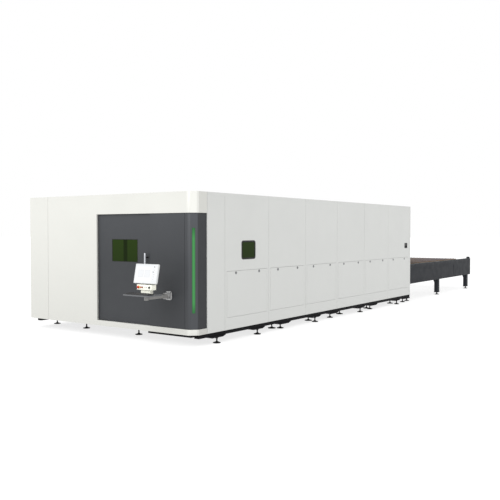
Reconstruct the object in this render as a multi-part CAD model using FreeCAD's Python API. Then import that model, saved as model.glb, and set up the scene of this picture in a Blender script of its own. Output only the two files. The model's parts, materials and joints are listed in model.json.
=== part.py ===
"""Enclosed fibre laser cutting machine with a two-deck pallet changer.

Millimetres. X runs across the machine, Y along it from the operator's end to
the pallet changer, Z up from the floor. Each function below makes one piece
or one group of like pieces, and parts/NAME.step is written for each.
"""
import FreeCAD
import Part
import math
import os

V = FreeCAD.Vector
Z_AXIS = V(0, 0, 1)

# ---------------------------------------------------------------- driving sizes
# enclosure
CABINET_WIDTH = 3740.0
BODY_HEIGHT = 2100.0
BAY_COUNT = 6
BAY_PITCH = 1200.0
FRONT_RETURN = 303.0         # dark corner return, from the front face to the first white panel
CORNER_PANEL = 424.0         # first white panel behind the return
END_POST = 82.0              # strip behind the last bay
SHEET = 2.5                  # sheet steel of the panels
TRAY_DEPTH = 30.0            # folded edge of each panel
SEAM = 4.0                   # open joint between neighbouring panels
ROOF_EDGE = 42.0             # roof flange that shows along each side

# front end
CORNER_CHAMFER = 108.0
CORNER_BEND = 80.0           # outside radius of the soft bend
CONSOLE_PANEL_WIDTH = 774.0
DOOR_OPENING_WIDTH = 1163.0
END_PANEL_WIDTH = 478.0
HEADER_HEIGHT = 313.0
SILL_HEIGHT = 84.0
DARK_RECESS = 12.0           # dark panels lie this far behind the white surround
LED_WIDTH = 44.0
LED_DEPTH = 10.0
LED_LOW = 322.0              # heights above the body's lower edge
LED_HIGH = 1568.0
LED_PROUD = 4.0              # the lamp's face before the dark sheet
LED_FLANGE = 10.0            # the lamp's flange beyond its slot

# sliding door
DOOR_DEPTH = 40.0
DOOR_GAP = 8.0               # running clearance behind the front skins
DOOR_OVERLAP = 26.0          # hidden lap of the door behind each neighbour
DOOR_WINDOW_WIDTH = 563.0
DOOR_WINDOW_HEIGHT = 352.0
DOOR_WINDOW_LOW = 1040.0
DOOR_WINDOW_INSET = 283.0    # from the door opening's right edge to the window
MULLION_WIDTH = 56.0
MULLION_OFFSET = 42.0        # mullion centre, left of the window's centre
HANDLE_RADIUS = 17.0
HANDLE_LENGTH = 470.0
HANDLE_TOP = 1190.0
HANDLE_REACH = 58.0
HANDLE_INSET = 72.0
HANDLE_STAND_RADIUS = 10.2
HANDLE_STAND_INSET = 70.5    # stand-offs from the handle's ends
WINDOW_PANE = 8.0
ROLLER_RADIUS = 24.0
ROLLER_WIDTH = 12.0
ROLLER_INSET = 150.0         # hangers from the doorway's edges
ROLLER_RISE = 38.0           # wheel centres above the leaf's upper edge
HANGER_WIDTH = 80.0
HANGER_HEIGHT = 52.0
HANGER_SHEET = 6.0
HANGER_FOOT_DEPTH = 30.0
HANGER_FOOT = 5.0
DOOR_RAIL_OVERRUN = 60.0     # rail beyond the leaf at either end of its travel
DOOR_RAIL_SHEET = 6.0
DOOR_RAIL_RISE = 90.0        # rail's web above the leaf
CHANNEL_SHEET = 4.0
CHANNEL_LIP = 3.0
CHANNEL_RISE = 20.0          # rear wall of the lower channel above the sill

# right side
ACCESS_MARGIN = 50.0         # from a bay's seam to its lower access panel
ACCESS_LOW = 185.0
ACCESS_HIGH = 902.0
ACCESS_GAP = 3.0
LOCK_DROP = 33.0             # lock centre below the access panel's upper edge
LOCK_SPACING = 636.0
LOCK_RADIUS = 21.0
LOCK_BARREL = 14.0
LOCK_HEAD = 4.0
LOCK_SLOT_WIDTH = 4.0
LOCK_SLOT_DEPTH = 2.5
LOCK_SETBACK = 4.0           # barrel's end inside the panel's folded edge
SIDE_WINDOW_LENGTH = 366.0
SIDE_WINDOW_HEIGHT = 281.0
SIDE_WINDOW_LOW = 1080.0
SIDE_WINDOW_START = 437.0    # from the first bay's seam
SIDE_WINDOW_RADIUS = 34.0
SIDE_WINDOW_LAP = 14.0
LATCH_LENGTH = 140.0
LATCH_HEIGHT = 100.0
LATCH_MIDDLE = 1175.0
LATCH_INSET = 190.0          # latch centre before the last bay's rear seam
LATCH_RIM = 10.0
LATCH_SHEET = 3.0
LATCH_WALL = 5.0
LATCH_DEPTH = 24.0
LATCH_FINGER_GAP = 18.0      # from the paddle's upper edge to the pocket's

# frame and feet
POST = 60.0
TUBE_WALL = 4.0
BASE_BEAM_WIDTH = 90.0
BASE_BEAM_HEIGHT = 60.0
BASE_BEAM_INSET = 20.0
FOOT_CLEARANCE = 110.0       # floor to the underside of the base beams
FOOT_PAD_RADIUS = 60.0
FOOT_PAD_HEIGHT = 16.0
FOOT_STUD_RADIUS = 12.0
OUTRIGGER_DROP = 26.0
OUTRIGGER_LENGTH = 420.0
OUTRIGGER_TAPER = 80.0
OUTER_FOOT_INSET = 2.0
INNER_FOOT_INSET = 15.0
FOOT_RIM_HEIGHT = 9.6
FOOT_CROWN_HEIGHT = 14.4
FOOT_NUT_RADIUS = 21.6
FOOT_NUT_HEIGHT = 14.0
BACKING_BELOW = 150.0        # console's backing plate below and above its tray
BACKING_ABOVE = 110.0
BED_PAD = 120.0
BED_FOOT_RADIUS = 70.0
BED_FOOT_INSET = 100.0       # foot centres inside the bed's outer faces
FRONT_CROSS_Y = 420.0        # front face of the foremost cross beam
BASE_CROSS_COUNT = 6         # further cross beams behind it
FRONT_FOOT_XS = (-960.0, 300.0)
FIRST_OUTER_FOOT = 551.0     # foot centres behind the front face
SECOND_OUTER_FOOT = 1624.0
LAST_OUTER_FOOT = 747.0      # before the rear face
FIRST_INNER_FOOT = 2428.0
LAST_INNER_FOOT = 224.0      # before the rear face
FOOT_ROW = 4                 # evenly spaced feet in each row

# cutting line: bed, pallets and changer share one centre line
LINE_OFFSET = 540.0          # centre line of the pallets, right of the cabinet's middle
PALLET_WIDTH = 2060.0
PALLET_LENGTH = 4300.0
PALLET_TUBE = 60.0
SLAT_HEIGHT = 60.0
SLAT_THICKNESS = 5.0
SLAT_PITCH = 100.0
SLAT_SINK = 30.0             # slats stand in the pallet frame to this depth
UPPER_DECK_TOP = 880.0
DECK_PITCH = 110.0
PALLET_SIDE_GAP = 40.0
PALLET_CROSS_COUNT = 5
PALLET_START_GAP = 150.0     # outer pallet behind the changer's front end
PALLET_INNER_GAP = 120.0     # inner pallet before the bed's rear end
BED_BEAM_WIDTH = 150.0
BED_BEAM_TOP = 960.0
BED_BEAM_HEIGHT = 760.0
BED_WALL = 12.0
BED_FRONT = 1300.0
BED_REAR_GAP = 129.0
BED_CROSS_COUNT = 6
BED_CROSS_WIDTH = 100.0
BED_CROSS_RISE = 40.0        # cross tubes above the side beams' undersides
TRACK_HEIGHT = 18.0
TRACK_GAP = 10.0             # between a pallet's side and its track
WHEEL_RADIUS = 22.0
WHEEL_WIDTH = 26.0
WHEEL_COUNT = 6              # on each side of a pallet
WHEEL_STANDOFF = 6.0
WHEEL_AXLE_RADIUS = 10.0
WHEEL_END_INSET = 90.0       # first and last wheel from the pallet's ends

# gantry
RAIL_WIDTH = 35.0
RAIL_HEIGHT = 30.0
RAIL_GROOVE_DEPTH = 5.0
RAIL_GROOVE_LOW = 8.0
RAIL_GROOVE_HIGH = 16.0
RACK_START = 35.0            # rack's inner face beyond the rail's centre
RACK_WIDTH = 25.0
RACK_HEIGHT = 25.0
GANTRY_DEPTH = 260.0
GANTRY_HEIGHT = 280.0
GANTRY_WALL = 10.0
GANTRY_HOME = 1900.0
BLOCK_HEIGHT = 42.0
BLOCK_WIDTH = 66.0
BLOCK_RISE = 18.0            # blocks' undersides above the bed
BLOCK_OUTER = 50.0           # blocks' ends beyond and inside the beam's faces
BLOCK_INNER = 60.0
BLOCK_CLEARANCE = 0.5
END_PLATE = 12.0
END_PLATE_REACH = 60.0       # gantry's end plates beyond the beam's faces
CARRIAGE_WIDTH = 340.0
CARRIAGE_PLATE = 20.0
CARRIAGE_GAP = 10.0          # between the plate and the cross rails
CARRIAGE_LOW = 8.0           # plate's lower edge above the beam's underside
CARRIAGE_RISE = 60.0
CROSS_RAIL_DEPTH = 22.0
CROSS_RAIL_HEIGHT = 24.0
CROSS_RAIL_INSET = 60.0
CROSS_BLOCK_WIDTH = 90.0
CROSS_BLOCK_HEIGHT = 56.0
CROSS_BLOCK_INSET = 50.0
CROSS_BLOCK_GAP = 5.0        # between a block and the beam's face
HEAD_HOUSING_DEPTH = 110.0
HEAD_HOUSING_WIDTH = 190.0
HEAD_HOUSING_WALL = 5.0
HEAD_HOUSING_LOW = 70.0
HEAD_HOUSING_RISE = 110.0
HEAD_REACH = 75.0            # head's axis before its housing
HEAD_GAP = 0.5
HEAD_PLATE = 14.0
HEAD_PLATE_WIDTH = 110.0
HEAD_PLATE_LOW = 90.0
HEAD_PLATE_HIGH = 400.0
HEAD_BODY_WIDTH = 96.0
HEAD_BODY_LOW = 60.0
HEAD_BODY_HIGH = 260.0
HEAD_EDGE = 10.0
HEAD_CONE_RADII = (18.0, 44.0)
COLLIMATOR_RADIUS = 38.0
COLLIMATOR_LENGTH = 130.0
SOCKET_RADIUS = 20.0
SOCKET_LENGTH = 60.0
NOZZLE_LENGTH = 32.0
NOZZLE_COLLAR = 14.0
NOZZLE_COLLAR_RADIUS = 16.0
NOZZLE_CONE_RADII = (4.0, 14.0)
NOZZLE_BORE = 1.5
NOZZLE_CLEARANCE = 130.0     # raised nozzle above the upper deck

# rear wall
SLOT_SIDE_GAP = 70.0
SLOT_LOW = 590.0
SLOT_HIGH = 1010.0
REAR_DOOR_LAP = 25.0
REAR_DOOR_DEPTH = 28.0
REAR_RIB_WIDTH = 40.0
REAR_RIB_COUNT = 3
RUNNING_GAP = 0.3            # between a sliding face and its guide
GUIDE_WALL = 10.0
GUIDE_LAP = 12.0             # the guides' lap over the rear door's ends
GUIDE_END_GAP = 3.0

# pallet changer
TABLE_LENGTH = 4800.0
TABLE_BEAM_HEIGHT = 474.0
TABLE_BEAM_WIDTH = 80.0
TABLE_SIDE_INSET = 80.0      # right face of the changer inside the cabinet's side
TABLE_START_GAP = 30.0
TABLE_LEG = 120.0
TABLE_LEG_PITCH = 2366.0
TABLE_END_LEG = 277.0        # last leg's centre before the changer's end
STOP_HEIGHT = 46.0
TABLE_WALL = 8.0
TABLE_LEG_DEPTH = 100.0
TABLE_FIRST_LEG = 80.0       # first leg's centre behind the changer's front end
TABLE_FOOT_HEIGHT = 60.0     # floor to the legs' foot plates
TABLE_PLATE = 12.0
TABLE_PLATE_LAP = 25.0
TABLE_GUSSET = 90.0
TABLE_GUSSET_DEPTH = 70.0
TABLE_PRESSING = 3300.0      # end of the pressed panel, from the front end
DRIVE_SHELF = 590.0
DRIVE_WIDTH = 260.0
DRIVE_DEPTH = 230.0
SHAFT_RADIUS = 16.0
SHAFT_RISE = 50.0            # shaft above its shelf
GEARBOX_WIDTH = 160.0
GEARBOX_HEIGHT = 110.0
MOTOR_RADIUS = 48.0
MOTOR_LENGTH = 150.0
SPROCKET_RADIUS = 38.4
SPROCKET_WIDTH = 12.0

# machine room
ROOM_UNIT_DEPTH = 620.0
ROOM_UNIT_WALL = 6.0
LASER_UNIT_HEIGHT = 1150.0
ELECTRICAL_HEIGHT = 1800.0
UNIT_GROOVE_WIDTH = 4.0
UNIT_GROOVE_DEPTH = 3.0
UNIT_GROOVE_LOW = 60.0       # door grooves above the case's foot and below its top
UNIT_GROOVE_HIGH = 40.0

# operator console
CONSOLE_HEIGHT = 775.0
CONSOLE_INSET = 392.0        # arm centre, left of the chamfer
ARM_REACH = 400.0
ARM_RADIUS = 34.0
ARM_BEAM_RADIUS = 27.88
BRACKET_WIDTH = 124.0
BRACKET_PLATE = 10.0
BRACKET_MARGIN = 45.0        # plate above and below the arm's hub
BRACKET_EDGE = 8.0
EAR_GAP = 0.5
TRAY_WIDTH = 500.0
TRAY_LENGTH = 230.0
TRAY_THICKNESS = 16.0
TRAY_REAR = 55.0             # tray behind the arm's axis
TRAY_EDGE = 14.0
NECK_WIDTH = 190.0
NECK_FRONT = 25.0
MAST_WIDTH = 80.0
MAST_THICKNESS = 12.0
HINGE_BARREL_RADIUS = 14.0
HINGE_BARREL_LENGTH = 40.0
HINGE_NOTCH_DEPTH = 18.0
HINGE_NOTCH_HALF = 20.0
MONITOR_WIDTH = 444.0
MONITOR_HEIGHT = 284.0
MONITOR_DEPTH = 46.0
MONITOR_TILT = 12.0
MONITOR_EDGE = 10.0
SCREEN_SEAT = 4.0
SCREEN_SINK = 1.0
LUG_REACH = 32.0
LUG_WIDTH = 11.6
LUG_RADIUS = 12.0
CONTROL_WIDTH = 290.0
CONTROL_HEIGHT = 74.0
CONTROL_DEPTH = 90.0
KEYBOARD_WIDTH = 430.0
KEYBOARD_LENGTH = 150.0
KEYBOARD_HEIGHT = 22.0
KEYBOARD_EDGE = 8.0
KEYBOARD_GAP = 70.0          # keyboard's rear edge before the arm's axis
BUTTON_TRAVEL = 4.0
BUTTON_GAP = 0.5
BUTTON_STANDOFF = 1.0
STEM_TAIL = 8.0              # stems behind the box's wall
CONTROL_WALL = 3.0
# each control's centre offset across the box, stem radius, head radius and head depth
CONTROLS = {
    "emergency_stop": (-112.0, 9.0, 19.0, 16.0),
    "start_button": (-70.0, 6.0, 10.0, 7.0),
    "reset_button": (-38.0, 6.0, 10.0, 7.0),
    "mode_switch": (100.0, 6.0, 13.0, 8.0),
}
GRIP_WIDTH = 8.0
GRIP_DEPTH = 9.0
NECK_HEIGHT = 62.0
EAR_THICKNESS = 10.0
PIN_RADIUS = 10.0
PIN_GAP = 0.08               # running clearance of the hinge pins
HINGE_PIN = 6.0
MONITOR_STANDOFF = 18.0
MONITOR_BEZEL = 11.0

# ---------------------------------------------------------------- derived places
RIGHT = CABINET_WIDTH / 2
LEFT = -RIGHT
REAR = FRONT_RETURN + CORNER_PANEL + BAY_COUNT * BAY_PITCH + END_POST
BODY_LOW = FOOT_CLEARANCE + BASE_BEAM_HEIGHT
BODY_HIGH = BODY_LOW + BODY_HEIGHT
HEADER_LOW = BODY_HIGH - HEADER_HEIGHT
SILL_HIGH = BODY_LOW + SILL_HEIGHT
SIDE_HIGH = BODY_HIGH - ROOF_EDGE
SILL_TUBE_HIGH = BODY_LOW + SHEET + POST
CHAMFER_X = RIGHT - CORNER_CHAMFER
DOORWAY_RIGHT = CHAMFER_X - CONSOLE_PANEL_WIDTH
DOORWAY_LEFT = DOORWAY_RIGHT - DOOR_OPENING_WIDTH
SURROUND_LEFT = LEFT + END_PANEL_WIDTH
FRAME_RIGHT = RIGHT - TRAY_DEPTH
FRAME_LEFT = -FRAME_RIGHT
BAY_START = FRONT_RETURN + CORNER_PANEL
SEAM_YS = [BAY_START + BAY_PITCH * i for i in range(BAY_COUNT + 1)]
LINE_X = LINE_OFFSET
DOOR_FRONT = TRAY_DEPTH + DOOR_GAP
DOOR_BACK = DOOR_FRONT + DOOR_DEPTH
LOWER_DECK_TOP = UPPER_DECK_TOP - DECK_PITCH
BED_HALF = PALLET_WIDTH / 2 + PALLET_SIDE_GAP + BED_BEAM_WIDTH
BED_REAR = REAR - BED_REAR_GAP
TABLE_FRONT = REAR + TABLE_START_GAP
TABLE_END = REAR + TABLE_LENGTH
TABLE_RIGHT = RIGHT - TABLE_SIDE_INSET
TABLE_HALF = TABLE_RIGHT - LINE_X
RAIL_TOP = BED_BEAM_TOP + RAIL_HEIGHT
GANTRY_LOW = RAIL_TOP + BLOCK_HEIGHT + END_PLATE
CONSOLE_X = CHAMFER_X - CONSOLE_INSET


# ---------------------------------------------------------------- shape helpers
def box(x0, x1, y0, y1, z0, z1):
    """A block between two corners."""
    return Part.makeBox(x1 - x0, y1 - y0, z1 - z0, V(x0, y0, z0))


def rod(x, y, z, radius, length, axis=Z_AXIS):
    """A cylinder from a point along an axis."""
    return Part.makeCylinder(radius, length, V(x, y, z), axis)


def fuse(shapes):
    """One clean solid out of touching shapes."""
    whole = shapes[0].fuse(shapes[1:]) if len(shapes) > 1 else shapes[0]
    return whole.removeSplitter()


def group(shapes):
    """Separate solids of one node."""
    return Part.makeCompound([solid for shape in shapes for solid in shape.Solids])


def tube(x0, x1, y0, y1, z0, z1, wall=TUBE_WALL):
    """A closed rectangular hollow section, its length the longest side."""
    outer = box(x0, x1, y0, y1, z0, z1)
    inner = box(x0 + wall, x1 - wall, y0 + wall, y1 - wall, z0 + wall, z1 - wall)
    return outer.cut(inner)


def tray(x0, x1, y0, y1, z0, z1, face, sheet=SHEET):
    """A folded sheet panel: one face with four edges, open behind it."""
    low = [x0 + sheet, y0 + sheet, z0 + sheet]
    high = [x1 - sheet, y1 - sheet, z1 - sheet]
    axis = "xyz".index(face[1])
    if face[0] == "+":
        low[axis] -= 2 * sheet
    else:
        high[axis] += 2 * sheet
    inner = box(low[0], high[0], low[1], high[1], low[2], high[2])
    return box(x0, x1, y0, y1, z0, z1).cut(inner)


def frame_ring(x0, x1, y0, y1, z0, z1, axis, sheet=SHEET):
    """The folded edge round an opening: a rectangular sleeve along an axis."""
    grow = [0 if name == axis else sheet for name in "xyz"]
    outer = box(x0 - grow[0], x1 + grow[0], y0 - grow[1], y1 + grow[1], z0 - grow[2], z1 + grow[2])
    over = [sheet if name == axis else 0 for name in "xyz"]
    inner = box(x0 - over[0], x1 + over[0], y0 - over[1], y1 + over[1], z0 - over[2], z1 + over[2])
    return outer.cut(inner)


def round_edges(shape, radius, axis):
    """Rounds the straight edges that run along an axis."""
    edges = [e for e in shape.Edges if abs(abs(e.tangentAt(e.FirstParameter).dot(axis)) - 1) < 1e-6]
    return shape.makeFillet(radius, edges)


def prism(points, height, axis):
    """A flat outline swept along an axis."""
    outline = Part.makePolygon([V(*p) for p in points] + [V(*points[0])])
    return Part.Face(outline).extrude(axis * height)


def corner_line(inset, x_start, y_end):
    """Edges of the front corner in plan: front, soft bend, chamfer, side return."""
    centre = V(CHAMFER_X - CORNER_BEND * math.tan(math.pi / 8), CORNER_BEND, 0)
    radius = CORNER_BEND - inset

    def on_bend(angle):
        return centre + V(math.sin(angle), -math.cos(angle), 0) * radius

    bend_start = on_bend(0)
    bend_end = on_bend(math.pi / 4)
    edge_x = RIGHT - inset
    edge_y = CORNER_CHAMFER + inset * (math.sqrt(2) - 1)
    corner = V(edge_x, edge_y, 0)
    return [
        Part.LineSegment(V(x_start, inset, 0), bend_start).toShape(),
        Part.Arc(bend_start, on_bend(math.pi / 8), bend_end).toShape(),
        Part.LineSegment(bend_end, corner).toShape(),
        Part.LineSegment(corner, V(edge_x, y_end, 0)).toShape(),
    ]


def corner_band(outer, inner, x_start, y_end, z0, z1):
    """A wall that follows the front corner, between two insets."""
    edges = corner_line(outer, x_start, y_end) + corner_line(inner, x_start, y_end)
    edges.append(Part.LineSegment(V(x_start, outer, 0), V(x_start, inner, 0)).toShape())
    edges.append(Part.LineSegment(V(RIGHT - outer, y_end, 0), V(RIGHT - inner, y_end, 0)).toShape())
    outline = Part.Wire(Part.__sortEdges__(edges))
    band = Part.Face(outline).extrude(Z_AXIS * (z1 - z0))
    band.translate(V(0, 0, z0))
    return band


def chamfer_block(width, outer, inner, z0, z1):
    """A block centred on the chamfer, between two insets from its face."""
    block = box(-width / 2, width / 2, outer, inner, z0, z1)
    block.rotate(V(0, 0, 0), Z_AXIS, 45)
    block.translate(V(RIGHT - CORNER_CHAMFER / 2, CORNER_CHAMFER / 2, 0))
    return block


# ---------------------------------------------------------------- front end
def front_surround():
    """White folded sheet: left panel, header and sill round the dark doorway."""
    start = SURROUND_LEFT + SEAM / 2
    end = FRONT_RETURN - SEAM
    skin = corner_band(0, SHEET, start, end, BODY_LOW, BODY_HIGH)
    skin = skin.cut(box(DOORWAY_LEFT, RIGHT + 1, -1, FRONT_RETURN, SILL_HIGH, HEADER_LOW))
    folds = [corner_band(0, TRAY_DEPTH, x, end, z, z + SHEET)
             for x, z in ((start, BODY_LOW), (start, BODY_HIGH - SHEET),
                          (DOORWAY_LEFT, SILL_HIGH - SHEET), (DOORWAY_LEFT, HEADER_LOW))]
    left_fold = box(start, start + SHEET, 0, TRAY_DEPTH, BODY_LOW, BODY_HIGH)
    doorway_fold = box(DOORWAY_LEFT - SHEET, DOORWAY_LEFT, 0, TRAY_DEPTH,
                       SILL_HIGH - SHEET, HEADER_LOW + SHEET)
    return fuse([skin, left_fold, doorway_fold] + folds)


def front_end_panel():
    """White panel at the left end of the front, folded round the left corner."""
    face = tray(LEFT, SURROUND_LEFT - SEAM / 2, 0, TRAY_DEPTH, BODY_LOW, BODY_HIGH, "-y")
    side = box(LEFT, LEFT + SHEET, SHEET, FRONT_RETURN - SEAM / 2, BODY_LOW, BODY_HIGH)
    return fuse([face, side])


def dark_zone():
    """Lowest and highest level of the dark panels: on the sill, just under the header."""
    return SILL_HIGH, HEADER_LOW - SEAM / 2


def corner_cover():
    """Dark sheet of the chamfered corner and its return, with the lamp's slot."""
    z0, z1 = dark_zone()
    start = CHAMFER_X - CORNER_BEND
    skin = corner_band(DARK_RECESS, DARK_RECESS + SHEET, start, FRONT_RETURN - SEAM, z0, z1)
    slot = chamfer_block(LED_WIDTH + 1, -1, TRAY_DEPTH, BODY_LOW + LED_LOW, BODY_LOW + LED_HIGH)
    return skin.cut(slot)


def led_strip():
    """Status lamp: a light bar in the corner's slot with a flange behind it."""
    z0 = BODY_LOW + LED_LOW
    z1 = BODY_LOW + LED_HIGH
    bar = chamfer_block(LED_WIDTH, DARK_RECESS - LED_PROUD, DARK_RECESS + LED_DEPTH, z0 + 1, z1 - 1)
    back = DARK_RECESS + SHEET
    lap = LED_FLANGE
    flange = chamfer_block(LED_WIDTH + 2 * lap, back, back + LED_DEPTH, z0 - lap, z1 + lap)
    return fuse([bar, flange])


def console_panel():
    """Fixed dark panel between the doorway and the corner."""
    z0, z1 = dark_zone()
    right = CHAMFER_X - CORNER_BEND - SEAM
    return tray(DOORWAY_RIGHT, right, DARK_RECESS, TRAY_DEPTH, z0, z1, "-y")


def door_levels():
    """Lower and upper edge of the sliding door."""
    return SILL_HIGH + DOOR_GAP, HEADER_LOW + DOOR_OVERLAP


def sliding_door():
    """Dark sheet door leaf with returned edges, a window hole and its frame."""
    z0, z1 = door_levels()
    x0 = DOORWAY_LEFT - DOOR_OVERLAP
    x1 = DOORWAY_RIGHT + DOOR_OVERLAP
    wx0, wx1, wz0, wz1 = door_window_edges()
    leaf = tray(x0, x1, DOOR_FRONT, DOOR_BACK, z0, z1, "-y")
    leaf = leaf.cut(box(wx0, wx1, DOOR_FRONT - 1, DOOR_BACK + 1, wz0, wz1))
    ring = frame_ring(wx0, wx1, DOOR_FRONT, DOOR_BACK, wz0, wz1, "y")
    mullion_x = (wx0 + wx1) / 2 - MULLION_OFFSET
    mullion = box(mullion_x - MULLION_WIDTH / 2, mullion_x + MULLION_WIDTH / 2,
                  DOOR_BACK - 2 * SHEET, DOOR_BACK, wz0, wz1)
    return fuse([leaf, ring, mullion])


def door_window_edges():
    """Left, right, lower and upper edge of the door's window."""
    x1 = DOORWAY_RIGHT - DOOR_WINDOW_INSET
    z0 = BODY_LOW + DOOR_WINDOW_LOW
    return x1 - DOOR_WINDOW_WIDTH, x1, z0, z0 + DOOR_WINDOW_HEIGHT


def door_window():
    """Laser-safe glass pane seated in the window's frame, before the mullion."""
    x0, x1, z0, z1 = door_window_edges()
    return box(x0, x1, DOOR_FRONT + SHEET, DOOR_FRONT + SHEET + WINDOW_PANE, z0, z1)


def door_handle():
    """Vertical bar handle on two stand-offs."""
    x = DOORWAY_RIGHT - HANDLE_INSET
    top = BODY_LOW + HANDLE_TOP
    y = DOOR_FRONT - HANDLE_REACH
    bar = rod(x, y, top - HANDLE_LENGTH, HANDLE_RADIUS, HANDLE_LENGTH)
    stands = [rod(x, y, top - drop, HANDLE_STAND_RADIUS, HANDLE_REACH, V(0, 1, 0))
              for drop in (HANDLE_STAND_INSET, HANDLE_LENGTH - HANDLE_STAND_INSET)]
    return fuse([bar] + stands)


def roller_xs():
    """Places of the two door hangers, from the door's edges."""
    return DOORWAY_LEFT + ROLLER_INSET, DOORWAY_RIGHT - ROLLER_INSET


def door_rollers():
    """Two hangers: a plate on the leaf's upper edge and a grooved wheel each."""
    top = door_levels()[1]
    middle = (DOOR_FRONT + DOOR_BACK) / 2
    half = HANGER_WIDTH / 2
    thin = HANGER_SHEET / 2
    deep = HANGER_FOOT_DEPTH / 2
    hangers = []
    for x in roller_xs():
        plate = box(x - half, x + half, middle - thin, middle + thin, top, top + HANGER_HEIGHT)
        foot = box(x - half, x + half, middle - deep, middle + deep, top, top + HANGER_FOOT)
        wheel = rod(x, middle + thin, top + ROLLER_RISE, ROLLER_RADIUS, ROLLER_WIDTH, V(0, 1, 0))
        hangers.append(fuse([plate, foot, wheel]))
    return group(hangers)


def door_track():
    """Upper running rail with its web and the lower guide channel of the door."""
    top = door_levels()[1]
    left = DOORWAY_LEFT - DOOR_OPENING_WIDTH - DOOR_RAIL_OVERRUN
    right = DOORWAY_RIGHT + DOOR_OVERLAP + DOOR_RAIL_OVERRUN
    middle = (DOOR_FRONT + DOOR_BACK) / 2
    back = DOOR_BACK + DOOR_GAP
    wheel_low = top + ROLLER_RISE - ROLLER_RADIUS
    ledge_low = wheel_low - DOOR_RAIL_SHEET
    ledge = box(left, right, middle + HANGER_SHEET / 2 + 0.5, back, ledge_low, wheel_low - RUNNING_GAP)
    web = box(left, right, back - DOOR_RAIL_SHEET, back, ledge_low, top + DOOR_RAIL_RISE)
    low = SILL_TUBE_HIGH
    inside = low + CHANNEL_SHEET
    floor = box(left, right, DOOR_FRONT - 2 * CHANNEL_LIP, back, low, inside)
    wall = box(left, right, DOOR_BACK + CHANNEL_SHEET, back, inside, SILL_HIGH + CHANNEL_RISE)
    front_wall = box(left, right, DOOR_FRONT - 2 * CHANNEL_LIP, DOOR_FRONT - CHANNEL_LIP, inside, SILL_HIGH)
    return group([fuse([ledge, web]), fuse([floor, wall, front_wall])])


# ---------------------------------------------------------------- side walls
def access_edges(bay):
    """Front, rear, lower and upper edge of a bay's access opening."""
    y0 = SEAM_YS[bay] + ACCESS_MARGIN
    y1 = SEAM_YS[bay + 1] - ACCESS_MARGIN
    return y0, y1, BODY_LOW + ACCESS_LOW, BODY_LOW + ACCESS_HIGH


def side_window_edges():
    """Front, rear, lower and upper edge of the side window."""
    y0 = SEAM_YS[0] + SIDE_WINDOW_START
    z0 = BODY_LOW + SIDE_WINDOW_LOW
    return y0, y0 + SIDE_WINDOW_LENGTH, z0, z0 + SIDE_WINDOW_HEIGHT


def window_block(x0, x1, grow):
    """The side window's rounded outline as a block, grown all round."""
    y0, y1, z0, z1 = side_window_edges()
    block = box(x0, x1, y0 - grow, y1 + grow, z0 - grow, z1 + grow)
    return round_edges(block, SIDE_WINDOW_RADIUS + grow, V(1, 0, 0))


def latch_edges():
    """Front, rear, lower and upper edge of the flush latch in the last bay."""
    y = SEAM_YS[-1] - LATCH_INSET
    z = BODY_LOW + LATCH_MIDDLE
    return y - LATCH_LENGTH / 2, y + LATCH_LENGTH / 2, z - LATCH_HEIGHT / 2, z + LATCH_HEIGHT / 2


def side_panel(bay):
    """White panel of one right-hand bay, open where its access panel sits."""
    y0 = SEAM_YS[bay] + SEAM / 2
    y1 = SEAM_YS[bay + 1] - SEAM / 2
    panel = tray(FRAME_RIGHT, RIGHT, y0, y1, BODY_LOW, SIDE_HIGH, "+x")
    ay0, ay1, az0, az1 = access_edges(bay)
    panel = panel.cut(box(RIGHT - 2 * SHEET, RIGHT + 1, ay0, ay1, az0, az1))
    panel = panel.fuse(frame_ring(FRAME_RIGHT, RIGHT, ay0, ay1, az0, az1, "x"))
    if bay == 0:
        panel = panel.cut(window_block(RIGHT - 2 * SHEET, RIGHT + 1, 0))
    if bay == BAY_COUNT - 1:
        ly0, ly1, lz0, lz1 = latch_edges()
        panel = panel.cut(box(RIGHT - 2 * SHEET, RIGHT + 1, ly0, ly1, lz0, lz1))
    return panel.removeSplitter()


def end_panels():
    """White strips of the right side before the first bay and behind the last."""
    first = tray(FRAME_RIGHT, RIGHT, FRONT_RETURN, BAY_START - SEAM / 2, BODY_LOW, SIDE_HIGH, "+x")
    last = tray(FRAME_RIGHT, RIGHT, SEAM_YS[-1] + SEAM / 2, REAR, BODY_LOW, SIDE_HIGH, "+x")
    return [first, last]


def lock_places(bay):
    """Centres of the two quarter-turn locks of an access panel."""
    y0, y1, _, z1 = access_edges(bay)
    middle = (y0 + y1) / 2
    return [(middle + side * LOCK_SPACING / 2, z1 - LOCK_DROP) for side in (-1, 1)]


def access_panel(bay):
    """Lower access panel of a bay, hinged on its lower outer edge."""
    y0, y1, z0, z1 = access_edges(bay)
    gap = ACCESS_GAP
    panel = tray(FRAME_RIGHT, RIGHT, y0 + gap, y1 - gap, z0 + gap, z1 - gap, "+x")
    for y, z in lock_places(bay):
        panel = panel.cut(rod(FRAME_RIGHT, y, z, LOCK_BARREL, TRAY_DEPTH + 1, V(1, 0, 0)))
    return panel


def access_locks(bay):
    """The pair of quarter-turn locks: slotted head and barrel through the sheet."""
    locks = []
    for y, z in lock_places(bay):
        barrel = rod(FRAME_RIGHT + LOCK_SETBACK, y, z, LOCK_BARREL, TRAY_DEPTH - LOCK_SETBACK, V(1, 0, 0))
        head = rod(RIGHT, y, z, LOCK_RADIUS, LOCK_HEAD, V(1, 0, 0))
        floor = RIGHT + LOCK_HEAD - LOCK_SLOT_DEPTH
        half = LOCK_SLOT_WIDTH / 2
        slot = box(floor, RIGHT + LOCK_HEAD + 1, y - LOCK_BARREL, y + LOCK_BARREL, z - half, z + half)
        locks.append(fuse([barrel, head]).cut(slot))
    return group(locks)


def side_window():
    """Laser-safe pane behind the first bay's skin, lapping its rounded hole."""
    back = RIGHT - SHEET
    return window_block(back - WINDOW_PANE, back, SIDE_WINDOW_LAP)


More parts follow.
